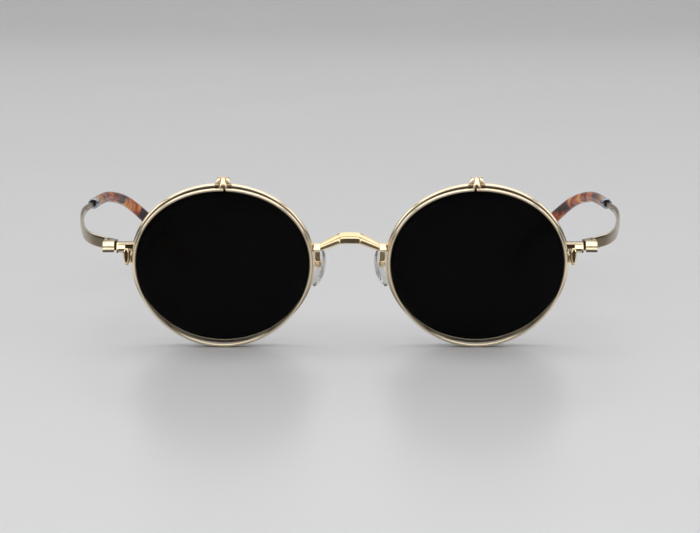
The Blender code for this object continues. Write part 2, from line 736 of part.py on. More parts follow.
def add_flip_hinge(tag, side, front):
    """The bracket on the rim with two knuckles, and the pin through the flip hinge."""
    at = flip_axis_place()
    half = FLIP_KNUCKLE_WIDTH / 2
    outer = half + GAP + FLIP_KNUCKLE_WIDTH
    seat = RIM_HEIGHT / 2 + RIM_RADIAL / 2 + GAP
    plate = rounded_box(
        (at.x - outer, GAP / 2, seat),
        (at.x + outer, GAP / 2 + FLIP_BRACKET_WALL, at.z + FLIP_KNUCKLE_RADIUS),
    )
    joined = []
    for low, high in ((-outer, -half - GAP), (half + GAP, outer)):
        joined.append(rod(FLIP_KNUCKLE_RADIUS, (at.x + low, at.y, at.z), (at.x + high, at.y, at.z)))
        joined.append(
            rounded_box(
                (at.x + low, at.y, at.z - FLIP_KNUCKLE_RADIUS + GAP),
                (at.x + high, FLIP_BRACKET_WALL, at.z + FLIP_KNUCKLE_RADIUS - GAP),
            )
        )
    hole = rod(
        FLIP_PIN_RADIUS + HOLE_STEP, (at.x - outer - OVERRUN, at.y, at.z), (at.x + outer + OVERRUN, at.y, at.z)
    )
    make(f"{tag}_flip_bracket", front, side, "gold", plate, joined=joined, cut=[hole])
    sizes = (FLIP_PIN_RADIUS, FLIP_PIN_HEAD_RADIUS, FLIP_PIN_HEAD, 2 * outer + GAP)
    turn = Matrix.Rotation(math.radians(90), 3, "Y")
    make_screw(f"{tag}_flip_pin", front, side, sizes, turn, at + Vector((outer + GAP, 0, 0)))


def add_flip(tag, side, front):
    """The flip-up eyewire, its lens and the knuckle it hangs from."""
    at = flip_axis_place()
    place = Vector((side * at.x, at.y, at.z))
    axis = empty(f"{tag}_flip_axis", front, place, (-FLIP_REST_ANGLE, 0, 0))
    tall = FLIP_HEIGHT / 2
    centre = Vector((FLIP_HINGE_SHIFT, FLIP_AXIS_FORWARD - FLIP_FORWARD, 0))
    centre.z = -FLIP_HINGE_RISE - FLIP_TOP_STEP - tall
    section = eyewire_section(FLIP_RADIAL, FLIP_AXIAL, FLIP_GROOVE, FLIP_GROOVE_WIDTH)
    wire = eyewire(FLIP_WIDTH, FLIP_HEIGHT, FLIP_TURN, section, math.radians(90))
    make(f"{tag}_flip_rim", axis, side, "gold", moved(wire, Matrix.Identity(3), centre))
    inset = FLIP_RADIAL + 2 * GAP
    glass = lens(FLIP_WIDTH - inset, FLIP_HEIGHT - inset, FLIP_TURN, FLIP_LENS_THICKNESS)
    make(f"{tag}_flip_lens", axis, side, "tint", moved(glass, Matrix.Identity(3), centre))
    add_flip_knuckle(tag, side, axis, centre, tall)


def leg_outline(length):
    """The two legs of the middle knuckle, an upside-down V that opens just clear of the knuckles."""
    neck = FLIP_KNUCKLE_WIDTH / 2 * FLIP_NECK_SHARE
    clear = FLIP_KNUCKLE_RADIUS + GAP
    outer = FLIP_LEG_SPREAD + FLIP_LEG_WIDTH / 2
    inner = FLIP_LEG_SPREAD - FLIP_LEG_WIDTH / 2
    right = [(neck, 0), (neck, -clear), (outer, -length), (inner, -length)]
    left = [(-x, z) for x, z in reversed(right)]
    return right + [(0, -clear)] + left


def add_flip_knuckle(tag, side, axis, centre, tall):
    """The middle knuckle, whose two legs straddle the slit of the flip-up eyewire."""
    half = FLIP_KNUCKLE_WIDTH / 2
    barrel = rod(FLIP_KNUCKLE_RADIUS, (-half, 0, 0), (half, 0, 0))
    seat = Vector((centre.x, centre.y, centre.z + tall + FLIP_RADIAL / 2 + GAP))
    lean = math.atan2(-seat.y, -seat.z)
    length = math.hypot(seat.y, seat.z)
    legs = moved(prism(leg_outline(length), FLIP_LEG_THICKNESS), Matrix.Rotation(-lean, 3, "X"), Vector())
    hole = rod(FLIP_PIN_RADIUS + HOLE_STEP, (-half - length, 0, 0), (half + length, 0, 0))
    make(f"{tag}_flip_knuckle", axis, side, "gold", barrel, joined=[legs], cut=[hole])


def pad_turn():
    """How the nose pad and its box stand: leaning in at the top and splayed out at the back."""
    return Euler((0, -PAD_LEAN, -PAD_SPLAY), "XYZ")


def add_pad_mount(tag, side, front):
    """The wire arm, the box at its end and the cross screw that carries the nose pad."""
    turn = pad_turn()
    turn = Euler((0, side * turn.y, side * turn.z), "XYZ")
    place = Vector((side * PAD_PIVOT.x, PAD_PIVOT.y, PAD_PIVOT.z))
    holder = empty(f"{tag}_pad_box_place", front, place, turn)
    size = PAD_BOX_SIZE / 2
    box = rounded_box((-size, -size, -size), (size, size, size), BLOCK_EDGE / 2)
    mouth = size - PAD_BOX_WALL
    pocket = rounded_box((-size - OVERRUN, -mouth, -mouth), (size - PAD_BOX_WALL, mouth, mouth))
    hole = rod(PAD_SCREW_RADIUS + PAD_SCREW_GAP, (0, -size - OVERRUN, 0), (0, size + OVERRUN, 0))
    make(f"{tag}_pad_box", holder, side, "gold", box, cut=[pocket, hole])
    sizes = (PAD_SCREW_RADIUS, PAD_SCREW_HEAD_RADIUS, PAD_SCREW_HEAD, PAD_BOX_SIZE + GAP)
    screw_turn = Matrix.Rotation(math.radians(90), 3, "X")
    make_screw(f"{tag}_pad_screw", holder, side, sizes, screw_turn, Vector((0, -size - GAP, 0)))
    add_pad_wire(tag, side, front)


def add_pad_wire(tag, side, front):
    """The bent wire from the back of the bridge lug down to the top of the pad box."""
    low, high = lug_corners()
    start = (low + high) / 2 + Vector((0, LUG_DEPTH / 2 + GAP, 0))
    turn = pad_turn().to_matrix()
    end = PAD_PIVOT + turn @ Vector((0, 0, PAD_BOX_SIZE / 2 + GAP))
    bends = []
    for back_share, down_share in PAD_WIRE_SHARES:
        across = start.lerp(end, back_share)
        bends.append(Vector((across.x, across.y, start.z + (end.z - start.z) * down_share)))
    path = smooth_path([start] + bends + [end], PAD_WIRE_STEPS)
    round_section = oval(PAD_WIRE_RADIUS, PAD_WIRE_RADIUS, THIN_WIRE_SIDES)
    wire = loft(sweep(path, lambda share: round_section, up=Vector((1, 0, 0))))
    make(f"{tag}_pad_arm", front, side, "gold", wire)


def add_nose_pad(tag, side, front):
    """The soft nose pad, which rocks on the cross screw in its box."""
    turn = pad_turn()
    turn = Euler((0, side * turn.y, side * turn.z), "XYZ")
    place = Vector((side * PAD_PIVOT.x, PAD_PIVOT.y, PAD_PIVOT.z))
    axis = empty(f"{tag}_pad_axis", front, place, turn)
    face = -PAD_BOX_SIZE / 2 - GAP
    rings = []
    for depth_share, size_share in PAD_ROUND_SHARES:
        x = face - PAD_THICKNESS * depth_share
        outline = oval(PAD_WIDTH / 2 * size_share, PAD_LENGTH / 2 * size_share, 20)
        rings.append([Vector((x, a, b - PAD_BELOW_BOX)) for a, b in outline])
    pad = loft(rings)
    half = PAD_BOX_SIZE / 2 - PAD_BOX_WALL - PAD_TAB_GAP
    tab = rounded_box((face - OVERRUN, -half, -half), (face + PAD_TAB_LENGTH, half, half))
    hole = rod(PAD_SCREW_RADIUS + PAD_SCREW_GAP, (0, -half - OVERRUN, 0), (0, half + OVERRUN, 0))
    make(f"{tag}_nose_pad", axis, side, "clear", pad, joined=[tab], cut=[hole])


def stand_on_origin(base):
    """Move the whole model so that the middle of its footprint is the origin."""
    bpy.context.view_layer.update()
    low = Vector((math.inf,) * 3)
    high = -low
    for thing in bpy.data.objects:
        if thing.type != "MESH" or thing.hide_render:
            continue
        for vertex in thing.data.vertices:
            point = thing.matrix_world @ vertex.co
            low = Vector(map(min, low, point))
            high = Vector(map(max, high, point))
    base.location = -Vector(((low.x + high.x) / 2, (low.y + high.y) / 2, low.z))


def build_glasses():
    """Build every piece of the glasses."""
    clear_scene()
    base = empty("glasses", None, (0, 0, 0))
    front = empty("front", base, (0, 0, LENS_Z), (RIM_TILT, 0, 0))
    add_bridge(front)
    for tag, side in (("left", 1), ("right", -1)):
        add_rim(tag, side, front)
        add_lug(tag, side, front)
        add_endpiece(tag, side, base)
        add_rim_lock(tag, side, base)
        add_hinge_screw(tag, side, base)
        add_temple(tag, side, base)
        add_flip_hinge(tag, side, front)
        add_flip(tag, side, front)
        add_pad_mount(tag, side, front)
        add_nose_pad(tag, side, front)
    stand_on_origin(base)


build_glasses()
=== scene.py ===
# %% [markdown]
# # Round sunglasses with front lenses that flip up
#
# The real glasses are bent wire, small milled blocks and turned screws, soldered together and
# plated with pale gold. Two dark lenses sit in the rims, and a second pair hangs in front of them
# on tiny hinges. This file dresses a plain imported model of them: each plain piece is replaced by a
# finer one in the same place, and each gets a finish made of shader nodes.
#
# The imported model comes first, because every size and place below is read from it or is set
# against it.

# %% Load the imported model
import json
from math import asin, atan2, copysign, cos, hypot, pi, radians, sin, sqrt, tan

import bmesh
import bpy
from bmesh.types import BMEdge, BMVert
from mathutils import Euler, Matrix, Vector


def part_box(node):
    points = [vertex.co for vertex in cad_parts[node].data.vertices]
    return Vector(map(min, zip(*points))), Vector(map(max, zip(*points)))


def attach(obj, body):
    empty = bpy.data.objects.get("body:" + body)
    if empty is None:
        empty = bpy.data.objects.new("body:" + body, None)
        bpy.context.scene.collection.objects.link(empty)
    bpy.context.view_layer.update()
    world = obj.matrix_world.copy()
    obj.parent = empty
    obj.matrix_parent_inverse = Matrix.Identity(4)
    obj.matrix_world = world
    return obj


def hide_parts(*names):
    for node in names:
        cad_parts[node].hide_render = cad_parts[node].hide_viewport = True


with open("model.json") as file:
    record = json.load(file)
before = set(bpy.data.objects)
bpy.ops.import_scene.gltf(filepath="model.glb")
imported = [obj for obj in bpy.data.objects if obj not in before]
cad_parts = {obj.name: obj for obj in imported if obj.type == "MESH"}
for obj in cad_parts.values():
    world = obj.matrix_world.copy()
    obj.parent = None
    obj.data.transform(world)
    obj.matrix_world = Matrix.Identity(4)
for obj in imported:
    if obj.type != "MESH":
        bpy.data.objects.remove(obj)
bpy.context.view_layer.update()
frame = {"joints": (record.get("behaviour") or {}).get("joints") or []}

# %% [markdown]
# ## Three places to work from
#
# The front of the glasses leans: the tops of the rims are further forward than their bottoms. So
# rims, lenses, bridge and pads are modelled upright around the middle of the front, and one matrix
# tilts them into place. The endpieces and the temples stay level, and each temple is built around
# the screw in its hinge, which the real temple turns about. The imported joints give the places of
# the hinges, and shifts of less than half a millimetre fit them to the photograph.

# %% Places read from the imported model
MM = 0.001
FRONT_TILT = radians(9.0)
LENSES_IN = 0.12 * MM
HINGES_UP = 0.45 * MM
PADS_IN = 0.3 * MM
JOINTS = {joint["name"]: Vector(joint["pos_m"]) for joint in frame["joints"]}


def mm(*sizes):
    """Millimetres as a vector."""
    return Vector(sizes) * MM


rim_low, rim_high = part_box("left_rim")
RIM_MIDDLE = (rim_low + rim_high) / 2
LENS_X = RIM_MIDDLE.x - LENSES_IN
FRONT = Matrix.Translation((0, RIM_MIDDLE.y, RIM_MIDDLE.z)) @ Matrix.Rotation(FRONT_TILT, 4, "X")
FRONT_BACK = FRONT.inverted()
TEMPLE_PIVOT = JOINTS["left_temple_fold"] + Vector((0, 0, HINGES_UP))
FLIP_PIVOT = FRONT_BACK @ JOINTS["left_flip_up"]
PAD_PIVOT = FRONT_BACK @ JOINTS["left_pad_rock"] - Vector((PADS_IN, 0, 0))
LEVEL = Matrix.Translation((0, RIM_MIDDLE.y, TEMPLE_PIVOT.z))
print("lens centres, mm:", round(LENS_X / MM, 2), round(RIM_MIDDLE.z / MM, 2))

# %% [markdown]
# ## Tools for shapes
#
# A piece starts as a bmesh, Blender's editable mesh. When its shape is done, one function mirrors
# it for the right side, merges doubled points, turns its faces outwards and makes it an object
# that rides on its body. Faces that meet at more than the sharpness angle keep a sharp edge. Nearly
# every piece comes twice, so the function also puts left or right before the names of the piece,
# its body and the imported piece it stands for.

# %% Turn a shape into a finished piece
MERGE = 0.0005 * MM
MIRROR = Matrix.Scale(-1, 4, (1, 0, 0))
SIDES = {1: "left_", -1: "right_"}


def added(name, data):
    """Add an object with its data, such as a mesh or a light, to the scene."""
    made = bpy.data.objects.new(name, data)
    bpy.context.scene.collection.objects.link(made)
    return made


def as_object(name, shape):
    """Make a bmesh, which is used up here, an object of the scene."""
    mesh = bpy.data.meshes.new(name)
    shape.to_mesh(mesh)
    shape.free()
    return added(name, mesh)


def finish(name, shape, look, stands_for, place, side=0, sharp=30):
    """Make a bmesh a piece; side is 1 on the wearer's left, -1 on the right and 0 in the middle."""
    tag = SIDES.get(side, "")
    body, slot_name, material = look
    whole = MIRROR @ place if side < 0 else place
    bmesh.ops.transform(shape, matrix=whole, verts=shape.verts)
    bmesh.ops.remove_doubles(shape, verts=shape.verts, dist=MERGE)
    bmesh.ops.recalc_face_normals(shape, faces=shape.faces)
    piece = as_object(tag + name, shape)
    piece.data.shade_smooth()
    piece.data.set_sharp_from_angle(angle=radians(sharp))
    piece.data.materials.append(material)
    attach(piece, body if body == "front" else tag + body)
    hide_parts(tag + stands_for)
    print(piece.name, len(piece.data.polygons), "faces")


# %% [markdown]
# Blocks, turned pieces and rods cover the small hardware. A block is a cube stretched between two
# corners with its edges bevelled. A turned piece is a half outline spun about an axis. Where two
# shapes have to become one, or one cuts another, a Boolean modifier is evaluated once and its
# result kept.

# %% Blocks, turned pieces, rods and Booleans
ROUND = 40
BEVEL_STEPS = 3


def soften(shape, width):
    """Bevel every edge of a shape."""
    bmesh.ops.bevel(
        shape, geom=shape.edges[:], offset=width, segments=BEVEL_STEPS, profile=0.5,
        affect="EDGES", material=-1,
    )


def block(low, high, edge=0):
    """A block between two corners, its edges bevelled by some millimetres."""
    shape = bmesh.new()
    bmesh.ops.create_cube(shape, size=1)
    bmesh.ops.scale(shape, vec=high - low, verts=shape.verts)
    bmesh.ops.translate(shape, vec=(low + high) / 2, verts=shape.verts)
    if edge:
        soften(shape, edge * MM)
    return shape


def turned(outline, start=(0, 0, 0), towards=(0, 0, 1), steps=ROUND):
    """Spin an outline of (radius, height) pairs about an axis through a point."""
    shape = bmesh.new()
    line = [shape.verts.new((radius, 0, height)) for radius, height in outline]
    edges = [shape.edges.new(pair) for pair in zip(line, line[1:])]
    bmesh.ops.spin(
        shape, geom=line + edges, cent=(0, 0, 0), axis=(0, 0, 1), angle=2 * pi, steps=steps,
        use_merge=True,
    )
    bmesh.ops.remove_doubles(shape, verts=shape.verts, dist=MERGE)
    turn = Vector(towards).to_track_quat("Z", "Y").to_matrix().to_4x4()
    bmesh.ops.transform(shape, matrix=Matrix.Translation(start) @ turn, verts=shape.verts)
    bmesh.ops.recalc_face_normals(shape, faces=shape.faces)
    return shape


def barrel(radius, start, end, edge):
    """A round bar between two points, with rounded ends."""
    along = end - start
    quarter = [radians(degrees) for degrees in (0, 30, 60, 90)]
    lower = [(radius - edge + edge * sin(a), edge * (1 - cos(a))) for a in quarter]
    upper = [(r, along.length - up) for r, up in reversed(lower)]
    return turned([(0, 0)] + lower + upper + [(0, along.length)], start, along)


def boolean(first, operation, others):
    """Join other shapes to a first one, or cut them from it. Every shape is a bmesh, used up here."""
    helpers = [as_object("helper", shape) for shape in [first, *others]]
    for tool in helpers[1:]:
        step = helpers[0].modifiers.new(operation, "BOOLEAN")
        step.operation = operation
        step.object = tool
        step.solver = "EXACT"
    result = bmesh.new()
    result.from_object(helpers[0], bpy.context.evaluated_depsgraph_get())
    for helper in helpers:
        bpy.data.objects.remove(helper)
    return result


print("a round bar has", ROUND, "sides")

# %% [markdown]
# Wires and temples are a section carried along a line: each next ring of points is extruded from
# the last one and moved by a matrix, and the two ends are filled. Every point also stores where it
# would be if the piece were pulled straight. Brush marks read that, so they follow the bends.

# %% Sections carried along a line
STRAIGHT = "pulled_straight"
CURVE_PARTS = 24


def lengths_along(line):
    """How far along a line each of its points is."""
    found = [0]
    for a, b in zip(line, line[1:]):
        found.append(found[-1] + (b - a).length)
    return found


def evenly(line, steps, start=0, end=None):
    """Points in equal steps between two distances along a line."""
    lengths = lengths_along(line)
    end = lengths[-1] if end is None else end
    found, at = [], 0
    for k in range(steps + 1):
        want = start + (end - start) * k / steps
        while at < len(line) - 2 and lengths[at + 1] < want:
            at += 1
        share = (want - lengths[at]) / (lengths[at + 1] - lengths[at])
        found.append(line[at].lerp(line[at + 1], share))
    return found


def through(points, steps):
    """A smooth line through points, in equal steps."""
    line = [2 * points[0] - points[1]] + points + [2 * points[-1] - points[-2]]
    dense = []
    for a, b, c, d in zip(line, line[1:], line[2:], line[3:]):
        for t in (k / CURVE_PARTS for k in range(CURVE_PARTS)):
            curve = 2 * b + (c - a) * t + (2 * a - 5 * b + 4 * c - d) * t**2
            dense.append((curve + (3 * b - a - 3 * c + d) * t**3) / 2)
    return evenly(dense + [points[-1]], steps)


def always(value):
    """A function of a line's share that gives one value all along."""
    return lambda share: value


def stations(line, up):
    """A matrix for each point of a line: X across it, Y along it and Z towards up(share)."""
    ends = [line[0]] + line + [line[-1]]
    for number, (point, before, after) in enumerate(zip(line, ends, ends[2:])):
        along = (after - before).normalized()
        across = along.cross(up(number / (len(line) - 1))).normalized()
        turn = Matrix((across, along, across.cross(along))).transposed().to_4x4()
        yield Matrix.Translation(point) @ turn


def picked(items, kind):
    """Only the points, or only the edges, of what an operator made."""
    return [item for item in items if isinstance(item, kind)]


def fill_ends(shape):
    """Close the two open ends of a wire."""
    bmesh.ops.holes_fill(shape, edges=[e for e in shape.edges if e.is_boundary], sides=0)


def swept(line, sizes, section, up=always(Vector((0, 0, 1)))):
    """Carry a section, a function that draws one ring around Y, along a line."""
    shape = bmesh.new()
    straight = shape.verts.layers.float_vector.new(STRAIGHT)
    ring = section(shape)
    edges = shape.edges[:]
    outline = [v.co.copy() for v in ring]
    for number, (place, along) in enumerate(zip(stations(line, up), lengths_along(line))):
        if number:
            new = bmesh.ops.extrude_edge_only(shape, edges=edges)["geom"]
            ring, edges = picked(new, BMVert), picked(new, BMEdge)
        wide, tall = sizes(number / (len(line) - 1))
        for vertex, (x, y, z) in zip(ring, outline):
            vertex.co = place @ Vector((x * wide, y, z * tall))
            vertex[straight] = (x * wide, along, z * tall)
    fill_ends(shape)
    return shape


def ring_of(shape, points):
    """Points joined to a closed ring."""
    ring = [shape.verts.new(point) for point in points]
    for pair in zip(ring, ring[1:] + ring[:1]):
        shape.edges.new(pair)
    return ring


def round_section(sides):
    """A ring of unit radius for swept()."""

    def draw(shape):
        turn = Matrix.Rotation(radians(90), 4, "X")
        return bmesh.ops.create_circle(shape, segments=sides, radius=1, matrix=turn)["verts"]

    return draw


print("a swept piece stores its straight shape as", STRAIGHT)

# %% [markdown]
# ## Finishes
#
# Shader maths reads best as sums, so one small class wraps an output socket: 0.2 + grain * 0.1 then
# adds the Math nodes by itself. Colours are mixed with Mix nodes, since a Math node would turn them
# grey. All nodes come from one method. A noise's scale says how many of its blots fit in a metre.

# %% A class for shader sums
class Signal:
    """A number, colour or vector that leaves a node."""

    def __init__(self, paint, socket):
        self.paint = paint
        self.socket = socket

    def sum(self, operation, other=0.0):
        return self.paint.add("Math", {0: self, 1: other}, operation=operation)

    def __add__(self, other):
        return self.sum("ADD", other)

    def __sub__(self, other):
        return self.sum("SUBTRACT", other)

    def __mul__(self, other):
        return self.sum("MULTIPLY", other)

    def __abs__(self):
        return self.sum("ABSOLUTE")

    __radd__ = __add__


class Paint:
    """A material whose nodes are added one by one around its Principled shader."""

    def __init__(self, name, **fixed):
        self.material = bpy.data.materials.new(name)
        self.material.use_nodes = True
        self.tree = self.material.node_tree
        self.shader = self.tree.nodes["Principled BSDF"]
        self.show(**fixed)
        print("finish:", name)

    def set(self, node, socket, value):
        """Link a signal to a socket, or set the socket's own value."""
        if isinstance(value, Signal):
            self.tree.links.new(value.socket, node.inputs[socket])
        else:
            node.inputs[socket].default_value = value

    def add(self, kind, sockets, out=0, **settings):
        """Add a node: its kind, its sockets' values or links, the output to use and its settings."""
        node = self.tree.nodes.new("ShaderNode" + kind)
        for setting, value in settings.items():
            setattr(node, setting, value)
        for socket, value in sockets.items():
            self.set(node, socket, value)
        return Signal(self, node.outputs[out])

    def place(self, scale=(1, 1, 1), attribute=None):
        """Where a point is: on the object, or on the piece pulled straight, stretched by a scale."""
        if attribute:
            point = self.add("Attribute", {}, out="Vector", attribute_name=attribute)
        else:
            point = self.add("TexCoord", {}, out="Object")
        return self.add("Mapping", {"Vector": point, "Scale": scale})

    def axis(self, point, number):
        """One coordinate of a point: 0, 1 or 2 for X, Y or Z."""
        return self.add("SeparateXYZ", {0: point}, out=number)

    def noise(self, point, scale, detail=2.0, roughness=0.5, distortion=0.0):
        sockets = {"Vector": point, "Scale": scale, "Detail": detail, "Roughness": roughness}
        return self.add("TexNoise", {**sockets, "Distortion": distortion})

    def ramp(self, value, stops):
        """A colour read from stops, pairs of a value and a colour."""
        found = self.add("ValToRGB", {"Fac": value})
        elements = found.socket.node.color_ramp.elements
        while len(elements) < len(stops):
            elements.new(1)
        for element, (at, colour) in zip(elements, stops):
            element.position = at
            element.color = (*colour, 1)
        return found

    def mix(self, share, first, second):
        return self.add("Mix", {0: share, 6: first, 7: second}, out=2, data_type="RGBA")

    def between(self, value, nought, one):
        """A share that rises softly from 0 to 1 between two values."""
        return self.add("MapRange", {0: value, 1: nought, 2: one}, interpolation_type="SMOOTHSTEP")

    def bump(self, height, strength, distance):
        return self.add("Bump", {"Height": height, "Strength": strength, "Distance": distance})

    def show(self, **sockets):
        """Set or link sockets of the shader, and give the material back."""
        for socket, value in sockets.items():
            self.set(self.shader, socket.replace("_", " ").title().replace("Ior", "IOR"), value)
        return self.material


def rgb(red, green, blue):
    """A colour for a socket, from linear shares of light."""
    return (red, green, blue, 1)


BLACK, WHITE = (0, 0, 0), (1, 1, 1)
print("sums of signals add Math nodes")

# %% [markdown]
# ### Gold
#
# The metal is plated with a pale champagne gold and polished. The plating is a little redder where
# it is thin, and cloths leave hair lines and haze. So noise changes the colour and the roughness by
# up to a tenth, and lines raise a bump of a few thousandths of a millimetre. The lines read the
# straightened position, so that they run along each bend.
#
# The flat sides of a temple and the inner side of a rim above are painted dark brown: painted shade
# and painted reflection, where the metal would mirror the dark room and the black lenses. That share
# is read from the straightened position too. Low down the painted shade moves to the outer side of a
# rim, and the inner side, which faces up into the light there, is left bright.
#
# A look is the body that a piece rides on, a slot name and its finish.

# %% Gold, on wires and on blocks
PALE = rgb(0.93, 0.79, 0.57)
WARM = rgb(0.88, 0.70, 0.44)
# Painted shade: the dark brown that stands in for shade and dark reflections on the metal.
PAINTED_SHADE_BROWN = rgb(0.12, 0.08, 0.04)
DEEPEST_PAINTED_SHADE = 0.92
LOW_SHADE_HEIGHTS = (22 * MM, 14 * MM)
LINES_ON_WIRE = (6000, 260, 6000)
LINES_ON_BLOCK = (5000, 900, 5000)
HAIR_DEPTH = 0.006 * MM


def gold(name, lines=None, rough=0.13, pale=PALE, warm=WARM, shade_band=None, shade_above=None, low_shade=None):
    """Polished gold plate. Lines names the attribute that hair lines run along, if there are any.

    The shade band gives an axis of the straightened place, and where on it painted shade begins and
    is full. The next pair gives the two heights between which that shade comes in, going up, and the
    last the two places on the axis between which, low down, the other side gets painted shade instead.
    """
    paint = Paint(name, metallic=1.0, specular_tint=rgb(1, 0.97, 0.9))
    point = paint.place()
    cloud = paint.noise(point, 180, detail=3)
    haze = paint.noise(point, 900, detail=4, roughness=0.6)
    colour = paint.mix(paint.ramp(cloud, [(0.35, BLACK), (0.7, WHITE)]), pale, warm)
    # Painted shade and painted reflection: dark brown is mixed in by a share of the straightened place and
    # of height.
    if shade_band:
        axis, unshaded, full = shade_band
        across = paint.axis(paint.place(attribute=lines), axis)
        if axis == 2:
            across = abs(across)
        share = paint.between(across, unshaded, full) * DEEPEST_PAINTED_SHADE
        above = paint.axis(point, 2)
        if shade_above:
            share = share * paint.between(above, *shade_above)
        if low_shade:
            low_down = paint.between(above, *LOW_SHADE_HEIGHTS)
            share = share + paint.between(across, *low_shade) * low_down * DEEPEST_PAINTED_SHADE
        colour = paint.mix(share - haze * 0.15, colour, PAINTED_SHADE_BROWN)
    stretch = LINES_ON_WIRE if lines else LINES_ON_BLOCK
    hair = paint.noise(paint.place(stretch, lines), 1, detail=3, roughness=0.65)
    roughness = rough - 0.03 + haze * 0.06 + hair * 0.05
    bump = paint.bump(hair * 0.7 + haze * 0.3, 0.12, HAIR_DEPTH)
    return paint.show(base_color=colour, roughness=roughness, normal=bump)


BRIGHT_WIRE = {"rough": 0.1, "pale": rgb(0.98, 0.86, 0.66), "warm": rgb(0.94, 0.79, 0.56)}
# Rims: painted shade on the inner side above and on the outer side low down.
RIM_GOLD = gold(
    "gold_rim", STRAIGHT, **BRIGHT_WIRE, shade_band=(0, 0.22 * MM, 0.02 * MM), shade_above=(10 * MM, 20 * MM),
    low_shade=(0.02 * MM, 0.3 * MM),
)
FLIP_GOLD = gold(
    "gold_flip_rim", STRAIGHT, **BRIGHT_WIRE, shade_band=(0, 0.06 * MM, -0.12 * MM),
    shade_above=(1.6 * MM, 5 * MM), low_shade=(0.16 * MM, 0.36 * MM),
)
BLOCK_GOLD = gold("gold_block", rough=0.12, pale=rgb(0.96, 0.83, 0.61))
BRIDGE_GOLD = gold("gold_bridge", rough=0.12, pale=rgb(0.86, 0.70, 0.44), warm=rgb(0.76, 0.58, 0.32))
# Pad arms: coloured dark brown, painted shade and painted reflection under the lugs.
ARM_PAINTED_SHADE_GOLD = gold("gold_arm_painted_shade", STRAIGHT, rough=0.2, pale=rgb(0.34, 0.25, 0.14), warm=rgb(0.24, 0.17, 0.09))
# Painted shade: a near black brown for dark hollows and corners of the metal.
PAINTED_SHADE_GOLD = gold("gold_painted_shade", rough=0.35, pale=PAINTED_SHADE_BROWN, warm=rgb(0.07, 0.05, 0.025))
# Ribbon: painted shade on its flat sides, as if they mirrored a dark room.
RIBBON_GOLD = gold(
    "gold_ribbon", STRAIGHT, rough=0.16, pale=rgb(0.9, 0.8, 0.62), warm=rgb(0.84, 0.7, 0.48),
    shade_band=(2, 1.55 * MM, 1.3 * MM),
)
SCREW_GOLD = gold("gold_screw", rough=0.18, pale=rgb(0.84, 0.68, 0.45), warm=rgb(0.76, 0.58, 0.34))
FRONT_BLOCK = ("front", "front_gold", BLOCK_GOLD)
FRONT_PAINTED_SHADE = ("front", "front_gold", PAINTED_SHADE_GOLD)
SCREW = ("front", "screw", SCREW_GOLD)

# %% [markdown]
# ### Silver
#
# The short rings where the temples enter their sleeves aren't plated gold. In the photograph they
# are a cool silver, with black and white reflections, so they get a nearly mirror-like nickel whose
# colour is set dark and bluish: a painted reflection of a dark room.

# %% Silver
def silver():
    """Nickel plate, nearly a mirror."""
    paint = Paint("silver_ring", metallic=1.0)
    haze = paint.noise(paint.place(), 1600, detail=3)
    # Painted reflection: the nickel's colour is set dark and bluish, as if it mirrored a dark room.
    colour = paint.mix(haze, rgb(0.26, 0.28, 0.33), rgb(0.50, 0.52, 0.58))
    bump = paint.bump(haze, 0.1, 0.005 * MM)
    return paint.show(base_color=colour, roughness=0.07 + haze * 0.08, normal=bump)


SILVER = silver()

# %% [markdown]
# ### Dark lenses
#
# A sunglass lens is clear plastic with dye in it. The front pair lets about two fifths of the light
# through, so the rims behind it show as grey lines, and the fixed pair nearly none, so the two
# together look black. Alpha does that without bending light, since the lenses have no power. It
# counts at both faces of a lens. An anti-reflection coat lets the floor show only faintly, so the
# index is set low. Dust and wiping marks change the roughness.

# %% Dark lenses
def dark_lens(name, veil):
    """Dyed plastic. Veil is how much each face hides."""
    paint = Paint(name, ior=1.12)
    point = paint.place()
    wiping = paint.noise(paint.place((60, 60, 260)), 1, detail=4, roughness=0.6)
    dust = paint.ramp(paint.noise(point, 2600), [(0.70, BLACK), (0.76, WHITE)])
    tint = paint.mix(paint.noise(point, 30), rgb(0.0015, 0.0015, 0.0018), rgb(0.0024, 0.0022, 0.0022))
    roughness = 0.02 + wiping * 0.03 + dust * 0.02
    return paint.show(base_color=tint, roughness=roughness, alpha=veil + wiping * 0.02)


LENS_DARK = dark_lens("dark_lens", veil=0.92)
FLIP_DARK = dark_lens("dark_flip_lens", veil=0.36)

# %% [markdown]
# ### Tortoise sleeves
#
# Acetate sheet is cast from chips of several colours, so its blots go through the whole thickness
# and a sleeve cut from it shows them as soft-edged patches: near black, red brown, amber and, at
# the front end, a smoky olive. Noise on the object's own coordinates is cut just like the sheet.
# The surface is buffed until it looks wet, which the coat gives.

# %% Tortoise acetate
BLOT_BEND = 4 * MM
OLIVE_END = 9 * MM
TORTOISE_STOPS = [
    (0.38, (0.005, 0.002, 0.001)),
    (0.43, (0.050, 0.009, 0.003)),
    (0.48, (0.22, 0.034, 0.006)),
    (0.54, (0.50, 0.12, 0.014)),
    (0.62, (0.72, 0.30, 0.05)),
]


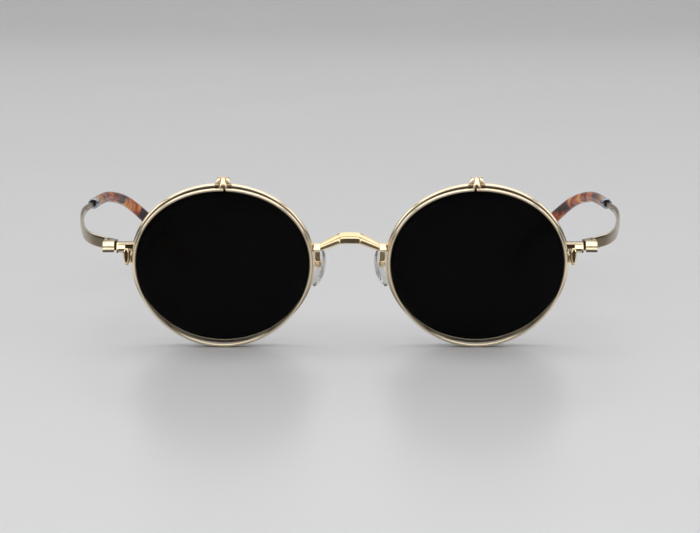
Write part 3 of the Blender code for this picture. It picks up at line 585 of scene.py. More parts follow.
def tortoise():
    """Blots from near black to amber through the whole sleeve, and smoky olive over its front end."""
    paint = Paint("tortoise_acetate", subsurface_weight=0.1, specular_ior_level=0.25)
    paint.show(coat_weight=0.3, coat_roughness=0.05)
    point = paint.place()
    drift = {0: paint.noise(point, 90), 1: (BLOT_BEND,) * 3, 2: point}
    bent = paint.add("VectorMath", drift, operation="MULTIPLY_ADD")
    blots = paint.noise(bent, 165, detail=2.5, roughness=0.45, distortion=0.6)
    flecks = paint.noise(bent, 620, detail=3, roughness=0.55)
    amount = blots + flecks * 0.16 - 0.08
    run = paint.axis(paint.place(attribute=STRAIGHT), 1)
    front_end = paint.add("MapRange", {0: run, 1: 0.0, 2: OLIVE_END, 3: 1.0, 4: 0.0})
    colour = paint.mix(front_end * 0.8, paint.ramp(amount, TORTOISE_STOPS), rgb(0.30, 0.19, 0.075))
    bump = paint.bump(flecks, 0.08, 0.01 * MM)
    return paint.show(base_color=colour, roughness=0.12 + flecks * 0.1, normal=bump)


TORTOISE = tortoise()

# %% [markdown]
# ### Clear pads
#
# The nose pads are clear soft plastic: light goes in at one side and leaves at another, so they
# take the colour of whatever is behind them and show bright rims. A touch of haze and a faint warm
# tint keep them from looking like cut glass.

# %% Clear plastic
def clear_plastic():
    """Clear soft plastic with a touch of haze."""
    paint = Paint("clear_pad", transmission_weight=0.92, ior=1.41)
    haze = paint.noise(paint.place(), 700, detail=3)
    colour = paint.mix(haze, rgb(0.80, 0.80, 0.77), rgb(0.90, 0.90, 0.88))
    bump = paint.bump(haze, 0.1, 0.02 * MM)
    return paint.show(base_color=colour, roughness=0.06 + haze * 0.08, normal=bump)


CLEAR = clear_plastic()

# %% [markdown]
# ## Rims
#
# A rim, or eyewire, is drawn wire: round outside, with a groove inside that holds the lens. It is
# bent to the lens and closed by a screw, so it has a slit. An outline of the wire is spun round a
# circle, stopping short by the slit, and then every point moves out or in to make the circle an
# oval. Unlike scaling, that keeps the wire equally thick all the way round.

# %% Wire outlines, and a spun wire bent to an oval
RING_STEPS = 288
WIRE_SIDES = 22


def wire_outline(radial, axial, groove, mouth):
    """Points of the wire's section, outwards and back: an oval with a V groove cut in its inner side."""
    lips = asin(mouth / axial)
    turns = [lips - pi + 2 * (pi - lips) * k / WIRE_SIDES for k in range(WIRE_SIDES + 1)]
    return [(radial / 2 * cos(a), axial / 2 * sin(a)) for a in turns] + [(-radial / 2 + groove, 0)]


def oval_point(size, turn, angle, outward, back):
    """A point by its angle on a turned oval, wider above, and how far outside and behind its line it is."""
    width, height, egg = size
    right, up = cos(angle), sin(angle)
    normal = Vector((right * height, 0, (up + egg * (up * up - right * right)) * width)).normalized()
    point = Vector((right * (1 + egg * up) * width, 0, up * height)) / 2 + normal * outward
    return Matrix.Rotation(-turn, 3, "Y") @ point + Vector((0, back, 0))


def oval_wire(size, turn, outline, slit_angle, slit):
    """A wire spun round a circle and bent to an oval, open at a slit."""
    shape = bmesh.new()
    straight = shape.verts.layers.float_vector.new(STRAIGHT)
    mean = (size[0] + size[1]) / 4
    ring = ring_of(shape, [(mean + out, back, 0) for out, back in outline])
    gap = slit / mean
    bmesh.ops.spin(
        shape, geom=ring + shape.edges[:], cent=(0, 0, 0), axis=(0, -1, 0), angle=2 * pi - gap,
        steps=RING_STEPS,
    )
    fill_ends(shape)
    for vertex in shape.verts:
        outward = hypot(vertex.co.x, vertex.co.z) - mean
        angle = atan2(vertex.co.z, vertex.co.x) % (2 * pi)
        vertex[straight] = (outward, angle * mean, vertex.co.y)
        vertex.co = oval_point(size, turn, angle + gap / 2 + slit_angle, outward, vertex.co.y)
    return shape


print("steps round a rim:", RING_STEPS)

# %% [markdown]
# The rim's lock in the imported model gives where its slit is. The slit of the front wire is at the
# top, between the legs of its hinge. Neither oval is quite even: both are a little wider above the
# middle, the front one more so. In the photograph the fixed rims end nearly half a millimetre above
# the front ones, so they are raised by a part of that and made a little less tall.

# %% Rims and front rims
# A wire: its thickness outwards and back, and the depth and the mouth of its groove.
RIM_WIRE = (1.3 * MM, 1.8 * MM, 0.6 * MM, 1.1 * MM)
FLIP_WIRE = (1.0 * MM, 1.4 * MM, 0.45 * MM, 0.85 * MM)
# An oval: its width, its height and how much wider it is above.
RIM_SIZE = (48.3 * MM, 43.87 * MM, 0.02)
FLIP_SIZE = (47.1 * MM, 43.27 * MM, 0.065)
RIM_TURN = radians(2.4)
FLIP_TURN = radians(1.0)
RIM_RAISED = 0.32 * MM
FLIP_REST = radians(2.4)
FLIP_TOP = mm(0.2, -1.3, -2.2)
SLIT = 0.3 * MM
FLIP_SLIT = 0.7 * MM
FLIP_SLIT_ANGLE = radians(91)

lock_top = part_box("left_rim_lock")[1].z
LOCK_UP = lock_top + SLIT / 2 - RIM_MIDDLE.z
SLIT_ANGLE = asin(LOCK_UP / (RIM_SIZE[1] / 2)) - RIM_TURN
RIM_PLACE = FRONT @ Matrix.Translation((LENS_X, 0, RIM_RAISED))
FLIP_HANG = FRONT @ Matrix.Translation(FLIP_PIVOT) @ Matrix.Rotation(-FLIP_REST, 4, "X")
FLIP_PLACE = FLIP_HANG @ Matrix.Translation(FLIP_TOP - Vector((0, 0, FLIP_SIZE[1] / 2)))

for side in SIDES:
    rim = oval_wire(RIM_SIZE, RIM_TURN, wire_outline(*RIM_WIRE), SLIT_ANGLE, SLIT)
    finish("eyewire", rim, ("front", "front_gold", RIM_GOLD), "rim", RIM_PLACE, side)
    rim = oval_wire(FLIP_SIZE, FLIP_TURN, wire_outline(*FLIP_WIRE), FLIP_SLIT_ANGLE, FLIP_SLIT)
    finish("flip_eyewire", rim, ("flip", "flip_gold", FLIP_GOLD), "flip_rim", FLIP_PLACE, side)

# %% [markdown]
# ## Lenses
#
# A lens is a slice of a large ball, so its two faces are shallow domes, and its edge is ground to
# a ridge that sits in the rim's groove. Half of that section is drawn as a line, from the middle of
# the front to the middle of the back, and spun. Points then move sideways from circle to oval.

# %% Lenses
LENS_BALL = 120 * MM
LENS_SEAT = 0.3 * MM
LENS_RIDGE = 0.45 * MM
LENS_ROWS = 16
LENS_STEPS = 144
BEVEL_IN, BEVEL_BACK = 0.15 * MM, 0.12 * MM


def lens_shape(size, wire, turn, thick):
    """A domed lens that fills a rim, with a ridge all round its edge."""
    width, height = (length - wire[0] + LENS_SEAT for length in size[:2])
    radius = (width + height) / 4
    drop = LENS_BALL - sqrt(LENS_BALL**2 - radius**2)
    rows = [radius * k / LENS_ROWS for k in range(LENS_ROWS + 1)]
    rows[-1] -= BEVEL_IN
    sags = [LENS_BALL - sqrt(LENS_BALL**2 - row**2) - drop for row in rows]
    front = [(row, sag - thick / 2) for row, sag in zip(rows, sags)]
    back = [(row, sag + thick / 2) for row, sag in zip(rows, sags)]
    edge = [(radius, -thick / 2 + BEVEL_BACK), (radius + LENS_RIDGE, 0), (radius, thick / 2 - BEVEL_BACK)]
    shape = turned(front + edge + back[::-1], towards=(0, 1, 0), steps=LENS_STEPS)
    for vertex in shape.verts:
        share = hypot(vertex.co.x, vertex.co.z) / radius
        angle = atan2(vertex.co.z, vertex.co.x)
        out = oval_point((width, height, size[2]), turn, angle, 0, 0) * min(share, 1)
        beyond = max(share - 1, 0) * radius
        vertex.co = out + out.normalized() * beyond + Vector((0, vertex.co.y, 0))
    return shape


for side in SIDES:
    lens = lens_shape(RIM_SIZE, RIM_WIRE, RIM_TURN, 1.3 * MM)
    finish("dark_lens", lens, ("front", "lens", LENS_DARK), "lens", RIM_PLACE, side)
    lens = lens_shape(FLIP_SIZE, FLIP_WIRE, FLIP_TURN, 1.0 * MM)
    finish("dark_flip_lens", lens, ("flip", "flip_lens", FLIP_DARK), "flip_lens", FLIP_PLACE, side)

# %% [markdown]
# ## Bridge
#
# The bridge is a bar with nine flats, bent to a low arch with a level middle. Each flat catches the
# light in its own way. So a nine-sided ring is carried along a line with two easy bends, thinner
# towards its soldered ends and leaning back a little. Past each bend it leans further back, which
# is what turns its dark flat to gold there.

# %% Bridge
BRIDGE_CORNERS = [mm(-8.2, 0, 4.8), mm(-2.6, 0, 7.45), mm(2.6, 0, 7.45), mm(8.2, 0, 4.8)]
BRIDGE_BEND = 6.5 * MM
BRIDGE_HALF = (1.15 * MM, 1.55 * MM)
BRIDGE_THINNING = 0.36
BRIDGE_LEANS = (radians(15), radians(24.5))
# The lean changes between these shares of the bar's length, counted from its middle.
LEAN_FROM, LEAN_TO = 0.125, 0.175
# The flats' corners, forward and up: steep at the lower front, slanting to the top and back.
BAR_FRONT = [(0.8, -1), (1.05, -0.88), (0.94, -0.06), (0.74, 0.3), (0.28, 0.72)]
BAR_BACK = [(-0.22, 1), (-0.8, 0.75), (-1, -0.2), (-0.6, -1)]
CORNER = 0.07


def bent_line(corners, radius, steps):
    """A line through corners, with an arc at each inner one."""
    line = [corners[0]]
    for before, corner, after in zip(corners, corners[1:], corners[2:]):
        inward = (before - corner).normalized()
        outward = (after - corner).normalized()
        half = inward.angle(outward) / 2
        middle = corner + (inward + outward).normalized() * radius / sin(half)
        first = corner + inward * radius / tan(half) - middle
        last = corner + outward * radius / tan(half) - middle
        for k in range(steps + 1):
            line.append(middle + first.lerp(last, k / steps).normalized() * radius)
    return line + [corners[-1]]


def bar_section(shape):
    """The bar's flats around Y, each corner cut by a narrow flat of its own."""
    flats = BAR_FRONT + BAR_BACK
    points = []
    for before, here, after in zip(flats[-1:] + flats, flats, flats[1:] + flats[:1]):
        for other in (before, after):
            x, z = (h + (o - h) * CORNER for h, o in zip(here, other))
            points.append((x, 0, z))
    return ring_of(shape, points)


def bridge_size(share):
    """Half depth and half height of the bridge bar along its length."""
    thin = 1 - BRIDGE_THINNING * min(abs(share - 0.5) / 0.5, 1) ** 2
    return BRIDGE_HALF[0] * thin, BRIDGE_HALF[1] * thin


def bridge_up(share):
    """The bar leans back, and its shoulders more than its middle, so that their flats look up."""
    middle, shoulder = BRIDGE_LEANS
    bent = min(max((abs(share - 0.5) - LEAN_FROM) / (LEAN_TO - LEAN_FROM), 0), 1)
    lean = middle + (shoulder - middle) * bent
    return Vector((0, sin(lean), cos(lean)))


bridge_line = evenly(bent_line(BRIDGE_CORNERS, BRIDGE_BEND, 10), 80)
bridge = swept(bridge_line, bridge_size, bar_section, bridge_up)
finish("bridge_bar", bridge, ("front", "front_gold", BRIDGE_GOLD), "bridge", FRONT, sharp=12)

# %% [markdown]
# ## Lugs and pad arms
#
# Where the bridge meets a rim, a small block with a sloping face fills the corner between them. It
# also carries the thin wire that bends back to the nose pad. On the real frame all of this is
# silver-soldered, so here the pieces reach a little into each other, and a low pillow of solder
# fills the seam at the rim.

# %% Lugs and pad arms
PAD_TURN = Euler((0, radians(-16), radians(-15)), "XYZ").to_matrix()
LUG = [(-0.2, 5.8), (-1.25, 4.3), (-0.95, 3.75), (0.95, 3.75), (0.95, 5.8)]
ARM_HALF = (0.35 * MM, 0.7 * MM)
ARM_BENDS = [mm(8.8, 0.6, 4.4), mm(8.72, 2.3, 4.1), mm(8.75, 4.8, 2.6), mm(8.85, 6.9, 0.3)]


def prism(outline, low, high, edge):
    """An outline of (y, z) millimetres, drawn out along X and bevelled."""
    shape = bmesh.new()
    face = shape.faces.new([shape.verts.new(mm(low, y, z)) for y, z in outline])
    moved = bmesh.ops.extrude_face_region(shape, geom=[face])["geom"]
    bmesh.ops.translate(shape, vec=mm(high - low, 0, 0), verts=picked(moved, BMVert))
    bmesh.ops.recalc_face_normals(shape, faces=shape.faces)
    soften(shape, edge * MM)
    return shape


def pillow(centre, radii, sides=32):
    """A stretched ball."""
    shape = bmesh.new()
    bmesh.ops.create_uvsphere(shape, u_segments=sides, v_segments=sides // 2, radius=1)
    bmesh.ops.scale(shape, vec=radii, verts=shape.verts)
    bmesh.ops.translate(shape, vec=centre, verts=shape.verts)
    return shape


def pad_arm():
    """The flattened wire that leaves the lug at its back and comes down on the pad's box."""
    line = through(ARM_BENDS + [PAD_PIVOT + PAD_TURN @ mm(0, 0, 0.6)], 70)
    return swept(line, always(ARM_HALF), round_section(20), always(Vector((1, 0, 0))))


for side in SIDES:
    finish("lug_block", prism(LUG, 7.95, 9.95, 0.16), FRONT_BLOCK, "bridge_lug", FRONT, side)
    solder = pillow(mm(9.75, 0, 4.75), mm(0.3, 0.8, 1.35))
    finish("lug_solder", solder, FRONT_BLOCK, "bridge_lug", FRONT, side)
    finish("pad_wire", pad_arm(), ("front", "front_gold", ARM_PAINTED_SHADE_GOLD), "pad_arm", FRONT, side)

# %% [markdown]
# ## Pad boxes and nose pads
#
# A nose pad is moulded from clear soft plastic, with a tab on its back. The tab sits in a small
# open box and a cross screw holds it there, loose enough to rock. The box is a bevelled cube with
# a pocket cut in it. The pad is a ball, flattened, drawn out to an egg and bent a little, because
# its nose side is domed while its back is nearly flat.

# %% Screws
TIP, BEVEL = 0.12, 0.06
DOME_START = 0.45
DOME_ANGLES = (0, 0.3, 0.6, 0.9, 1.2, pi / 2)


def screw(shank, head, rise, length, slot=(0.22, 0.16)):
    """A slotted screw that points down from the seat of its domed head, all in millimetres."""
    width, depth = slot
    outline = [(0, -length), (shank - TIP, -length), (shank, TIP - length), (shank, 0), (head - BEVEL, 0)]
    outline.append((head, BEVEL))
    for a in DOME_ANGLES:
        outline.append((head * cos(a), rise * (DOME_START + (1 - DOME_START) * sin(a))))
    cutter = block(mm(-2 * head, -width / 2, rise - depth), mm(2 * head, width / 2, 2 * rise))
    return boolean(turned([(r * MM, up * MM) for r, up in outline]), "DIFFERENCE", [cutter])


def stood(shape, degrees, axis, place=(0, 0, 0)):
    """Turn a shape about an axis, then move it."""
    turn = Matrix.Rotation(radians(degrees), 4, axis)
    bmesh.ops.transform(shape, matrix=Matrix.Translation(place) @ turn, verts=shape.verts)
    return shape


print("a screw is turned, then its slot is cut")

# %% Pad boxes and nose pads
BOX = 0.92
PAD_PLACE = FRONT @ Matrix.Translation(PAD_PIVOT) @ PAD_TURN.to_4x4()
PAD_HALF = mm(0.65, 3.2, 5.2)
PAD_FULLNESS = 0.8
PAD_BACK = 0.8
PAD_BENDS = (0.9, 0.3)
PAD_EGG = 0.14


def pad_box():
    """A small box with a sloping face, open towards the nose."""
    pocket = block(mm(-2, -0.52, -0.52), mm(0.5, 0.52, 0.52), 0.12)
    face = [(-0.4, BOX), (-1.05, -0.15), (-0.8, -BOX)]
    return boolean(prism(face + [(BOX, -BOX), (BOX, BOX)], -BOX, BOX, 0.2), "DIFFERENCE", [pocket])


def nose_pad():
    """A clear pad: a ball drawn out to an egg, domed towards the nose and bent away at its ends."""
    pad = pillow((0, 0, 0), (1, 1, 1), 96)
    for vertex in pad.verts:
        out, along, up = vertex.co
        full = copysign(abs(out) ** PAD_FULLNESS, out)
        thick = PAD_HALF.x * (full if out < 0 else full * PAD_BACK)
        bend = (PAD_BENDS[0] * up * up + PAD_BENDS[1] * along * along) * MM
        vertex.co = Vector((thick + bend, along * PAD_HALF.y * (1 - PAD_EGG * up), up * PAD_HALF.z))
    bmesh.ops.translate(pad, vec=mm(-1.5, 0, -1.25), verts=pad.verts)
    tab = block(mm(-1.5, -0.42, -0.42), mm(0.3, 0.42, 0.42), 0.12)
    return boolean(pad, "UNION", [tab])


for side in SIDES:
    finish("box", pad_box(), FRONT_BLOCK, "pad_box", PAD_PLACE, side)
    cross = screw(shank=0.15, head=0.34, rise=0.22, length=1.85, slot=(0.14, 0.1))
    cross = stood(cross, 90, "X", mm(0, -BOX - 0.1, -0.3))
    finish("cross_screw", cross, SCREW, "pad_screw", PAD_PLACE, side)
    finish("clear_pad", nose_pad(), ("pad", "pad", CLEAR), "nose_pad", PAD_PLACE, side, 50)

# %% [markdown]
# ## Flip hinges
#
# At the top of each rim two small knuckles stand on splayed feet. A third one between them belongs
# to the flip-up wire and has two legs, one on each side of the slit in that wire. A pin runs
# through all three. The knuckles are turned bars. A cut plate leans against the front of each, with
# its toes forward, so that it looks up into the light. Bent wires take the toes to the rims, and a
# thin plate behind joins the fixed pair.

# %% Flip hinges
KNUCKLE = 0.82 * MM
HINGE_SHIFT = Matrix.Translation(mm(-0.2, 0, 0))
HINGE_HANG = FRONT @ Matrix.Translation(FLIP_PIVOT) @ HINGE_SHIFT
SWING_HANG = FLIP_HANG @ HINGE_SHIFT


def foot(way, points, start, end):
    """A bent leg to one way, whose radius changes from start to end. All is in millimetres."""
    line = through([mm(x * way, y, z) for x, y, z in points], 18)

    def sizes(share):
        return ((start + (end - start) * share) * MM,) * 2

    return swept(line, sizes, round_section(20), always(Vector((0, 1, 0))))


def leaning(outline, lean):
    """A plate cut to an outline of (x, z) millimetres, leaning against the front of a knuckle."""
    return stood(stood(prism(outline, 0.35, 0.9, 0.1), -90, "Z"), -lean, "X")


def fixed_knuckles():
    """Two knuckles with a foot each, and the plate behind them."""
    parts = [block(mm(-1.45, 1.15, -0.3), mm(1.45, 1.7, 0.6), 0.2)]
    tooth = [(0.84, 0.8), (1.64, 0.8), (1.76, -0.4), (2.2, -1.1), (1.6, -1.1), (1.25, -0.45), (0.84, -0.3)]
    for way in (-1, 1):
        near, far = sorted((0.82 * way, 1.5 * way))
        parts.append(barrel(KNUCKLE, mm(0.8 * way, 0, 0), mm(1.56 * way, 0, 0), 0.2 * MM))
        parts.append(block(mm(near, 0, -0.4), mm(far, 1.5, 0.6), 0.2))
        parts.append(leaning([(x * way, z) for x, z in tooth], 33))
        leg = [(1.4, -0.7, -0.2), (1.78, -0.75, -0.75), (1.95, 0.1, -1.2), (2.05, 0.85, -1.45)]
        parts.append(foot(way, leg, 0.32, 0.34))
    return boolean(parts[0], "UNION", parts[1:])


def swinging_knuckle():
    """The middle knuckle with its two legs."""
    half = [(0.55, 0.8), (0.55, -0.7), (1.08, -2.35), (0.38, -2.35)]
    legs = half + [(0, -1.45)] + [(-x, z) for x, z in reversed(half)]
    parts = [barrel(KNUCKLE, mm(-0.55, 0, 0), mm(0.55, 0, 0), 0.18 * MM), leaning(legs, 30)]
    for way in (-1, 1):
        leg = [(0.5, -1.0, -0.9), (0.68, -1.4, -1.5), (0.8, -1.35, -2.2)]
        parts.append(foot(way, leg, 0.3, 0.3))
    return boolean(parts[0], "UNION", parts[1:])


for side in SIDES:
    finish("fixed_knuckles", fixed_knuckles(), FRONT_BLOCK, "flip_bracket", HINGE_HANG, side)
    pin = screw(shank=0.32, head=0.48, rise=0.2, length=3.25, slot=(0.16, 0.1))
    finish("hinge_pin", stood(pin, 90, "Y", mm(1.56, 0, 0)), SCREW, "flip_pin", HINGE_HANG, side)
    swing_look = ("flip", "flip_gold", BLOCK_GOLD)
    finish("swinging_knuckle", swinging_knuckle(), swing_look, "flip_knuckle", SWING_HANG, side)

# %% [markdown]
# ## Endpieces and rim locks
#
# An endpiece joins rim and temple. Seen from the front it has a raised edge, a lower block and a
# slim bar that is soldered across the rim. Under the bar hangs the rim lock: a barrel shaped like
# an almond and cut across, whose halves are soldered to the two ends of the rim. A screw from below
# pulls them together and so grips the lens. A fluted strip runs down the almond's face, lined with a
# dark sheet of painted shade. Behind, a leaf carries two hinge knuckles, and solder fills the corner
# behind the bar, coloured dark brown as painted shade.

# %% Endpieces
HINGE = Vector((TEMPLE_PIVOT.x, 4.6 * MM, -0.75 * MM))
LOCK = mm(60.05, -1.55, 0)
LOCK_LOW = 4.45
# The almond's widest height, how far it reaches above and below it, and its half width.
ALMOND_WIDEST, ALMOND_ABOVE, ALMOND_BELOW, ALMOND_HALF = -1.75, 1.75, 3.0, 1.05 * MM
ALMOND_FULL, ALMOND_BLUNT = 2.1, 0.55
ALMOND_ROWS = 28


def endpiece():
    """Raised edge, block, bar, leaf and the two outer hinge knuckles."""
    edge = prism([(-1.3, 1.3), (-2.1, -0.25), (-2.53, -1.4), (1.3, -1.4), (1.3, 1.3)], 62.2, 62.72, 0.1)
    face = [(-1.2, 1.1), (-1.35, 0.9), (-2.0, -0.3), (-2.14, -1.3)]
    body = prism(face[1:] + [(0.95, -1.3), (0.95, 1.1)] + face[:1], 60.4, 62.3, 0.08)
    bar = prism([(-1.5, 1.28), (-1.84, 0.82), (1.1, 0.7), (1.1, 1.28)], 57.88, 62.3, 0.12)
    leaf = block(mm(60.4, 0, -1.35), mm(61.65, 3.6, 0.45), 0.15)
    knuckles = barrel(1.15 * MM, HINGE - mm(0, 0, 1.2), HINGE + mm(0, 0, 1.2), 0.12 * MM)
    mouth = barrel(1.4 * MM, HINGE - mm(0, 0, 0.47), HINGE + mm(0, 0, 0.47), 0.02 * MM)
    joined = boolean(edge, "UNION", [body, bar, leaf, knuckles])
    return boolean(joined, "DIFFERENCE", [mouth])


def almond(top, bottom):
    """The part of the almond between two heights, full near its top and drawn out to its lower end."""
    outline = []
    for z in (top + (bottom - top) * k / ALMOND_ROWS for k in range(ALMOND_ROWS + 1)):
        share = abs(z - ALMOND_WIDEST) / (ALMOND_ABOVE if z > ALMOND_WIDEST else ALMOND_BELOW)
        outline.append((ALMOND_HALF * max(1 - share**ALMOND_FULL, 0) ** ALMOND_BLUNT, z * MM))
    return turned([(0, top * MM)] + outline + [(0, bottom * MM)], (LOCK.x, LOCK.y, 0))


def flute(grow=0.0):
    """The narrow almond-shaped strip sunk in the lock's face."""
    size = mm(0.48 + grow, 0.45 + grow, 2.1 + grow)
    return pillow(LOCK + mm(0.1, -0.95, -2.25), size, 48)


def lock_half(top, bottom):
    """Half of the almond, fluted, with the solder that joins it to the rim."""
    solder = block(mm(58.9, -1.7, bottom + 0.25), mm(59.9, -0.5, top - 0.25), 0.2)
    return boolean(boolean(almond(top, bottom), "UNION", [solder]), "DIFFERENCE", [flute()])


def flute_shade_sheet(top, bottom):
    """A dark sheet in the flute, painted shade, between two heights."""
    behind = block(LOCK + mm(-1, -0.72, bottom), LOCK + mm(1, 1, top))
    return boolean(flute(0.03), "INTERSECT", [behind])


for side in SIDES:
    # The web behind the bar is coloured dark brown: painted shade in that corner.
    web = block(mm(58.5, -1.15, -0.5), mm(60.6, 0.7, 0.75), 0.1)
    finish("solder_web", web, FRONT_PAINTED_SHADE, "endpiece", LEVEL, side)
    finish("end_block", endpiece(), FRONT_BLOCK, "endpiece", LEVEL, side)
    finish("lock_upper", lock_half(-0.02, -1.95), FRONT_BLOCK, "endpiece", LEVEL, side)
    finish("lock_lower", lock_half(-2.0, -LOCK_LOW), FRONT_BLOCK, "rim_lock", LEVEL, side)
    # The flute is lined with a dark sheet: painted shade.
    finish("flute_upper", flute_shade_sheet(-0.3, -1.95), FRONT_PAINTED_SHADE, "endpiece", LEVEL, side)
    finish("flute_lower", flute_shade_sheet(-2.0, -4.0), FRONT_PAINTED_SHADE, "rim_lock", LEVEL, side)
    grip = screw(shank=0.36, head=0.46, rise=0.4, length=4.1)
    grip = stood(grip, 180, "X", LOCK - mm(0, 0, LOCK_LOW))
    finish("lock_screw", grip, SCREW, "rim_screw", LEVEL, side)
    pivot = screw(shank=0.4, head=0.8, rise=0.4, length=2.55)
    pivot = stood(pivot, 180, "X", HINGE - mm(0, 0, 1.2))
    finish("pivot_screw", pivot, SCREW, "hinge_screw", LEVEL, side)

# %% [markdown]
# ## Temples
#
# Each temple is one length of wire. It is rolled to an upright ribbon, soldered into a hinge block,
# and left round at its far end, where the tortoise sleeve is pushed over it. Its line, seen from
# above, bows out to make room for the head and turns in behind the ears. The same line carries the
# ribbon, the silver ring and the sleeve.

# %% Hinge blocks and the line of a temple
# Shares of the temple's reach back, of its bow outwards and of its drop.
TEMPLE_LINE = [
    (0, 0, 0), (0.057, 0.39, 0), (0.13, 0.64, 0), (0.22, 0.79, 0), (0.348, 0.945, 0),
    (0.467, 1, 0), (0.543, 0.93, 0), (0.6, 0.84, 0), (0.69, 0.68, 0.01), (0.745, 0.52, 0.05),
    (0.793, 0.36, 0.11), (0.834, 0.2, 0.19), (0.872, 0.01, 0.3), (0.904, -0.19, 0.42),
    (0.942, -0.52, 0.61), (0.972, -0.87, 0.8), (1, -1.29, 1),
]
TEMPLE_REACH = 133 * MM
TEMPLE_BOW = 12 * MM
TEMPLE_DROP = TEMPLE_PIVOT.z - 0.83 * MM
ROOT = mm(3.85, 0.8, -0.1)
HANG = Matrix.Translation(TEMPLE_PIVOT)


def hinge_block():
    """The block in front of the temple, with a crease across its face, its tongue and its knuckle."""
    face = [(-5.1, 1.4), (-5.79, -0.02), (-5.68, -0.1), (-5.82, -0.18), (-6.25, -1.38)]
    body = prism(face + [(0.5, -1.38), (0.5, 1.4)], 1.84, 4.98, 0.18)
    low, high = mm(0, 0, -1.15), mm(0, 0, -0.35)
    tongue = block(low - mm(0, 0.95, 0), high + mm(2.2, 0.95, 0), 0.08)
    knuckle = barrel(1.15 * MM, low, high, 0.06 * MM)
    return boolean(body, "UNION", [tongue, knuckle])


line_points = []
for back, out, down in TEMPLE_LINE:
    line_points.append(ROOT + Vector((TEMPLE_BOW * out, TEMPLE_REACH * back, -TEMPLE_DROP * down)))
temple_line = through(line_points, 400)
temple_length = lengths_along(temple_line)[-1]
print("temple line, mm:", round(temple_length / MM, 1))

# %% Ribbons, silver rings and sleeves
RING_START = 78 * MM
SLEEVE_START = RING_START + 2.7 * MM
RIBBON_SIDES = 32
BOXINESS = 0.55
# Half sizes in millimetres, across and up: the ribbon, how it changes to the round wire, the sleeve.
RIBBON_HALF, TO_WIRE, SLEEVE_HALF = (0.45, 1.65), (0.17, -1.03), (1.4, 1.6)
SLEEVE_SWELL = 0.3
# Shares of a piece's length: where the wire is round, where the swell runs, and both sleeve ends.
WIRE_ROUND, SWELL_START, SWELL_RUN, SLEEVE_TAIL, SLEEVE_NOSE = 0.97, 0.3, 0.5, 0.038, 0.012


def ribbon_section(shape):
    """A ring between an oval and a box, so that the ribbon has flat sides and soft edges."""
    points = []
    for turn in (2 * pi * k / RIBBON_SIDES for k in range(RIBBON_SIDES)):
        x, z = (copysign(abs(v) ** BOXINESS, v) for v in (cos(turn), sin(turn)))
        points.append((x, 0, z))
    return ring_of(shape, points)


def ribbon():
    """The arm from inside its block to inside its sleeve, flat at first and round at its end."""
    line = [temple_line[0] - mm(0, 0.7, 0)] + evenly(temple_line, 150, 0, RING_START + 1.5 * MM)

    def sizes(share):
        rounder = min(share / WIRE_ROUND, 1) ** 3
        return tuple((half + change * rounder) * MM for half, change in zip(RIBBON_HALF, TO_WIRE))

    return swept(line, sizes, ribbon_section)


def shoulder():
    """The short taper from the hinge block to the ribbon."""
    line = through([mm(3 + 0.25 * k + 0.18 * k**0.5, 0.3 + 0.8 * k, -0.02 * k) for k in range(5)], 20)
    return swept(line, lambda share: ((1.35 - 0.95 * share**0.7) * MM, 1.42 * MM), ribbon_section)


def silver_ring():
    """The turned ring at the mouth of the sleeve, dished in front."""
    start, middle = evenly(temple_line, 1, RING_START, RING_START + 1.4 * MM)
    outline = [(0, 0.35), (0.72, 0.3), (0.95, 0), (1.3, 0.04), (1.5, 0.22), (1.62, 0.6), (1.62, 1.5)]
    outline += [(1.5, 1.75), (1.45, 1.9), (1.52, 2.1), (1.52, 2.6), (1.4, 2.8), (0, 2.8)]
    return turned([(r * MM, up * MM) for r, up in outline], start, middle - start, 64)


def sleeve():
    """The tortoise sleeve, a little higher towards its rounded end."""
    line = evenly(temple_line, 220, SLEEVE_START, temple_length)

    def sizes(share):
        swell = min(max((share - SWELL_START) / SWELL_RUN, 0), 1)
        swell = swell * swell * (3 - 2 * swell)
        tail = max(share - (1 - SLEEVE_TAIL), 0) / SLEEVE_TAIL
        nose = max(SLEEVE_NOSE - share, 0) / SLEEVE_NOSE
        close = sqrt(max(1 - tail * tail, 0.0004)) * (1 - 0.12 * nose * nose)
        across, up = SLEEVE_HALF
        return across * MM * close, (up + SLEEVE_SWELL * swell) * MM * close

    return swept(line, sizes, round_section(36))


for side in SIDES:
    metal = ("temple", "temple_gold", RIBBON_GOLD)
    finish("hinge_block", hinge_block(), ("temple", "temple_gold", BLOCK_GOLD), "temple_block", HANG, side)
    # The heel behind the hinge block is coloured dark brown: painted shade.
    heel = block(mm(1.25, -2.8, -1.3), mm(2.0, 0.4, 1.25), 0.1)
    finish("solder_heel", heel, ("temple", "temple_gold", PAINTED_SHADE_GOLD), "temple_block", HANG, side)
    finish("shoulder", shoulder(), metal, "temple_arm", HANG, side)
    finish("ribbon", ribbon(), metal, "temple_arm", HANG, side, 50)
    finish("silver_ring", silver_ring(), ("temple", "collar_silver", SILVER), "tip_collar", HANG, side)
    finish("sleeve", sleeve(), ("temple", "tip", TORTOISE), "temple_tip", HANG, side, 50)

# %% [markdown]
# ## Stage, light and camera
#
# The glasses stand on a pale, slightly glossy sweep that curves up behind them, so that no edge
# shows. Polished metal looks like what is around it. A wide panel overhead gives the bright upper
# edges, a narrow one in front lights the small faces that lean back, two at the sides run down the
# upper quarters of the rims, and one behind lifts the sweep. The room itself is dark, so whatever
# looks at it goes brown, and the sides of the rims show the floor.

# %% Floor and backdrop
SWEEP_HALF = 2.5
SWEEP_TOP = 2.2
BEND_START = 0.9
BEND_RADIUS = 0.5


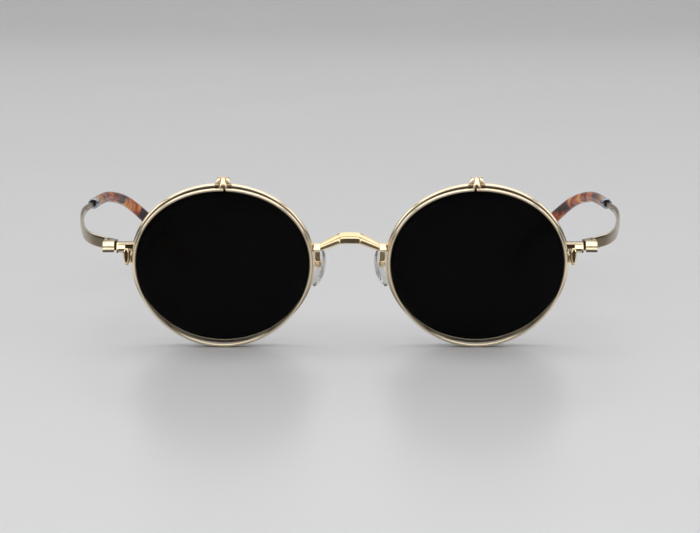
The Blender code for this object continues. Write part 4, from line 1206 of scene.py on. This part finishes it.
def sweep_floor():
    """A floor that curves up into a backdrop."""
    shape = bmesh.new()
    profile = [(-SWEEP_HALF, 0)]
    for a in (radians(degrees) for degrees in range(0, 91, 6)):
        profile.append((BEND_START + BEND_RADIUS * sin(a), BEND_RADIUS - BEND_RADIUS * cos(a)))
    profile.append((BEND_START + BEND_RADIUS, SWEEP_TOP))
    line = [shape.verts.new((-SWEEP_HALF, y, z)) for y, z in profile]
    edges = [shape.edges.new(pair) for pair in zip(line, line[1:])]
    moved = bmesh.ops.extrude_edge_only(shape, edges=edges)["geom"]
    bmesh.ops.translate(shape, vec=(2 * SWEEP_HALF, 0, 0), verts=picked(moved, BMVert))
    floor = as_object("sweep", shape)
    floor.data.shade_smooth()
    return floor


def floor_paint():
    paint = Paint("pale_sweep")
    grain = paint.noise(paint.place(), 14, detail=3)
    colour = paint.mix(grain, rgb(0.66, 0.66, 0.665), rgb(0.69, 0.69, 0.695))
    return paint.show(base_color=colour, roughness=0.3)


floor = sweep_floor()
floor.data.materials.append(floor_paint())
print("floor points:", len(floor.data.vertices))

# %% Lights, world and camera
AIM = Vector((0, -0.0660, 0.02187))
ELEVATION = radians(9.4)
CAMERA_AWAY = 0.8
FOCAL_MM, SENSOR_MM = 152.64, 36


def panel(name, place, size, watts):
    """A soft white rectangular light that faces the glasses."""
    light = bpy.data.lights.new(name, "AREA")
    light.shape = "RECTANGLE"
    light.size, light.size_y = size
    light.energy = watts
    lamp = added(name, light)
    lamp.location = place
    lamp.rotation_euler = (Vector(place) - AIM).to_track_quat("Z", "Y").to_euler()


panel("above", (0, 0.0, 1.25), (2.4, 1.3), 13.5)
panel("front", (0, -0.95, 0.85), (2.4, 0.45), 5.3)
panel("behind", (0, 0.8, 0.6), (2.0, 0.6), 3)
for side in (-1, 1):
    panel("side", (1.15 * side, -0.15, 0.6), (1.1, 0.6), 3)

world = bpy.data.worlds.new("room")
world.use_nodes = True
world.node_tree.nodes["Background"].inputs["Color"].default_value = rgb(0.08, 0.08, 0.083)
bpy.context.scene.world = world

camera_data = bpy.data.cameras.new("camera")
camera_data.sensor_width = SENSOR_MM
camera_data.lens = FOCAL_MM
camera_data.clip_start = 0.01
camera = added("camera", camera_data)
camera.location = AIM + CAMERA_AWAY * Vector((0, -cos(ELEVATION), sin(ELEVATION)))
camera.rotation_euler = (radians(90) - ELEVATION, 0, 0)
bpy.context.scene.camera = camera
bpy.context.scene.view_settings.view_transform = "Standard"
print("camera at", [round(v, 3) for v in camera.location])
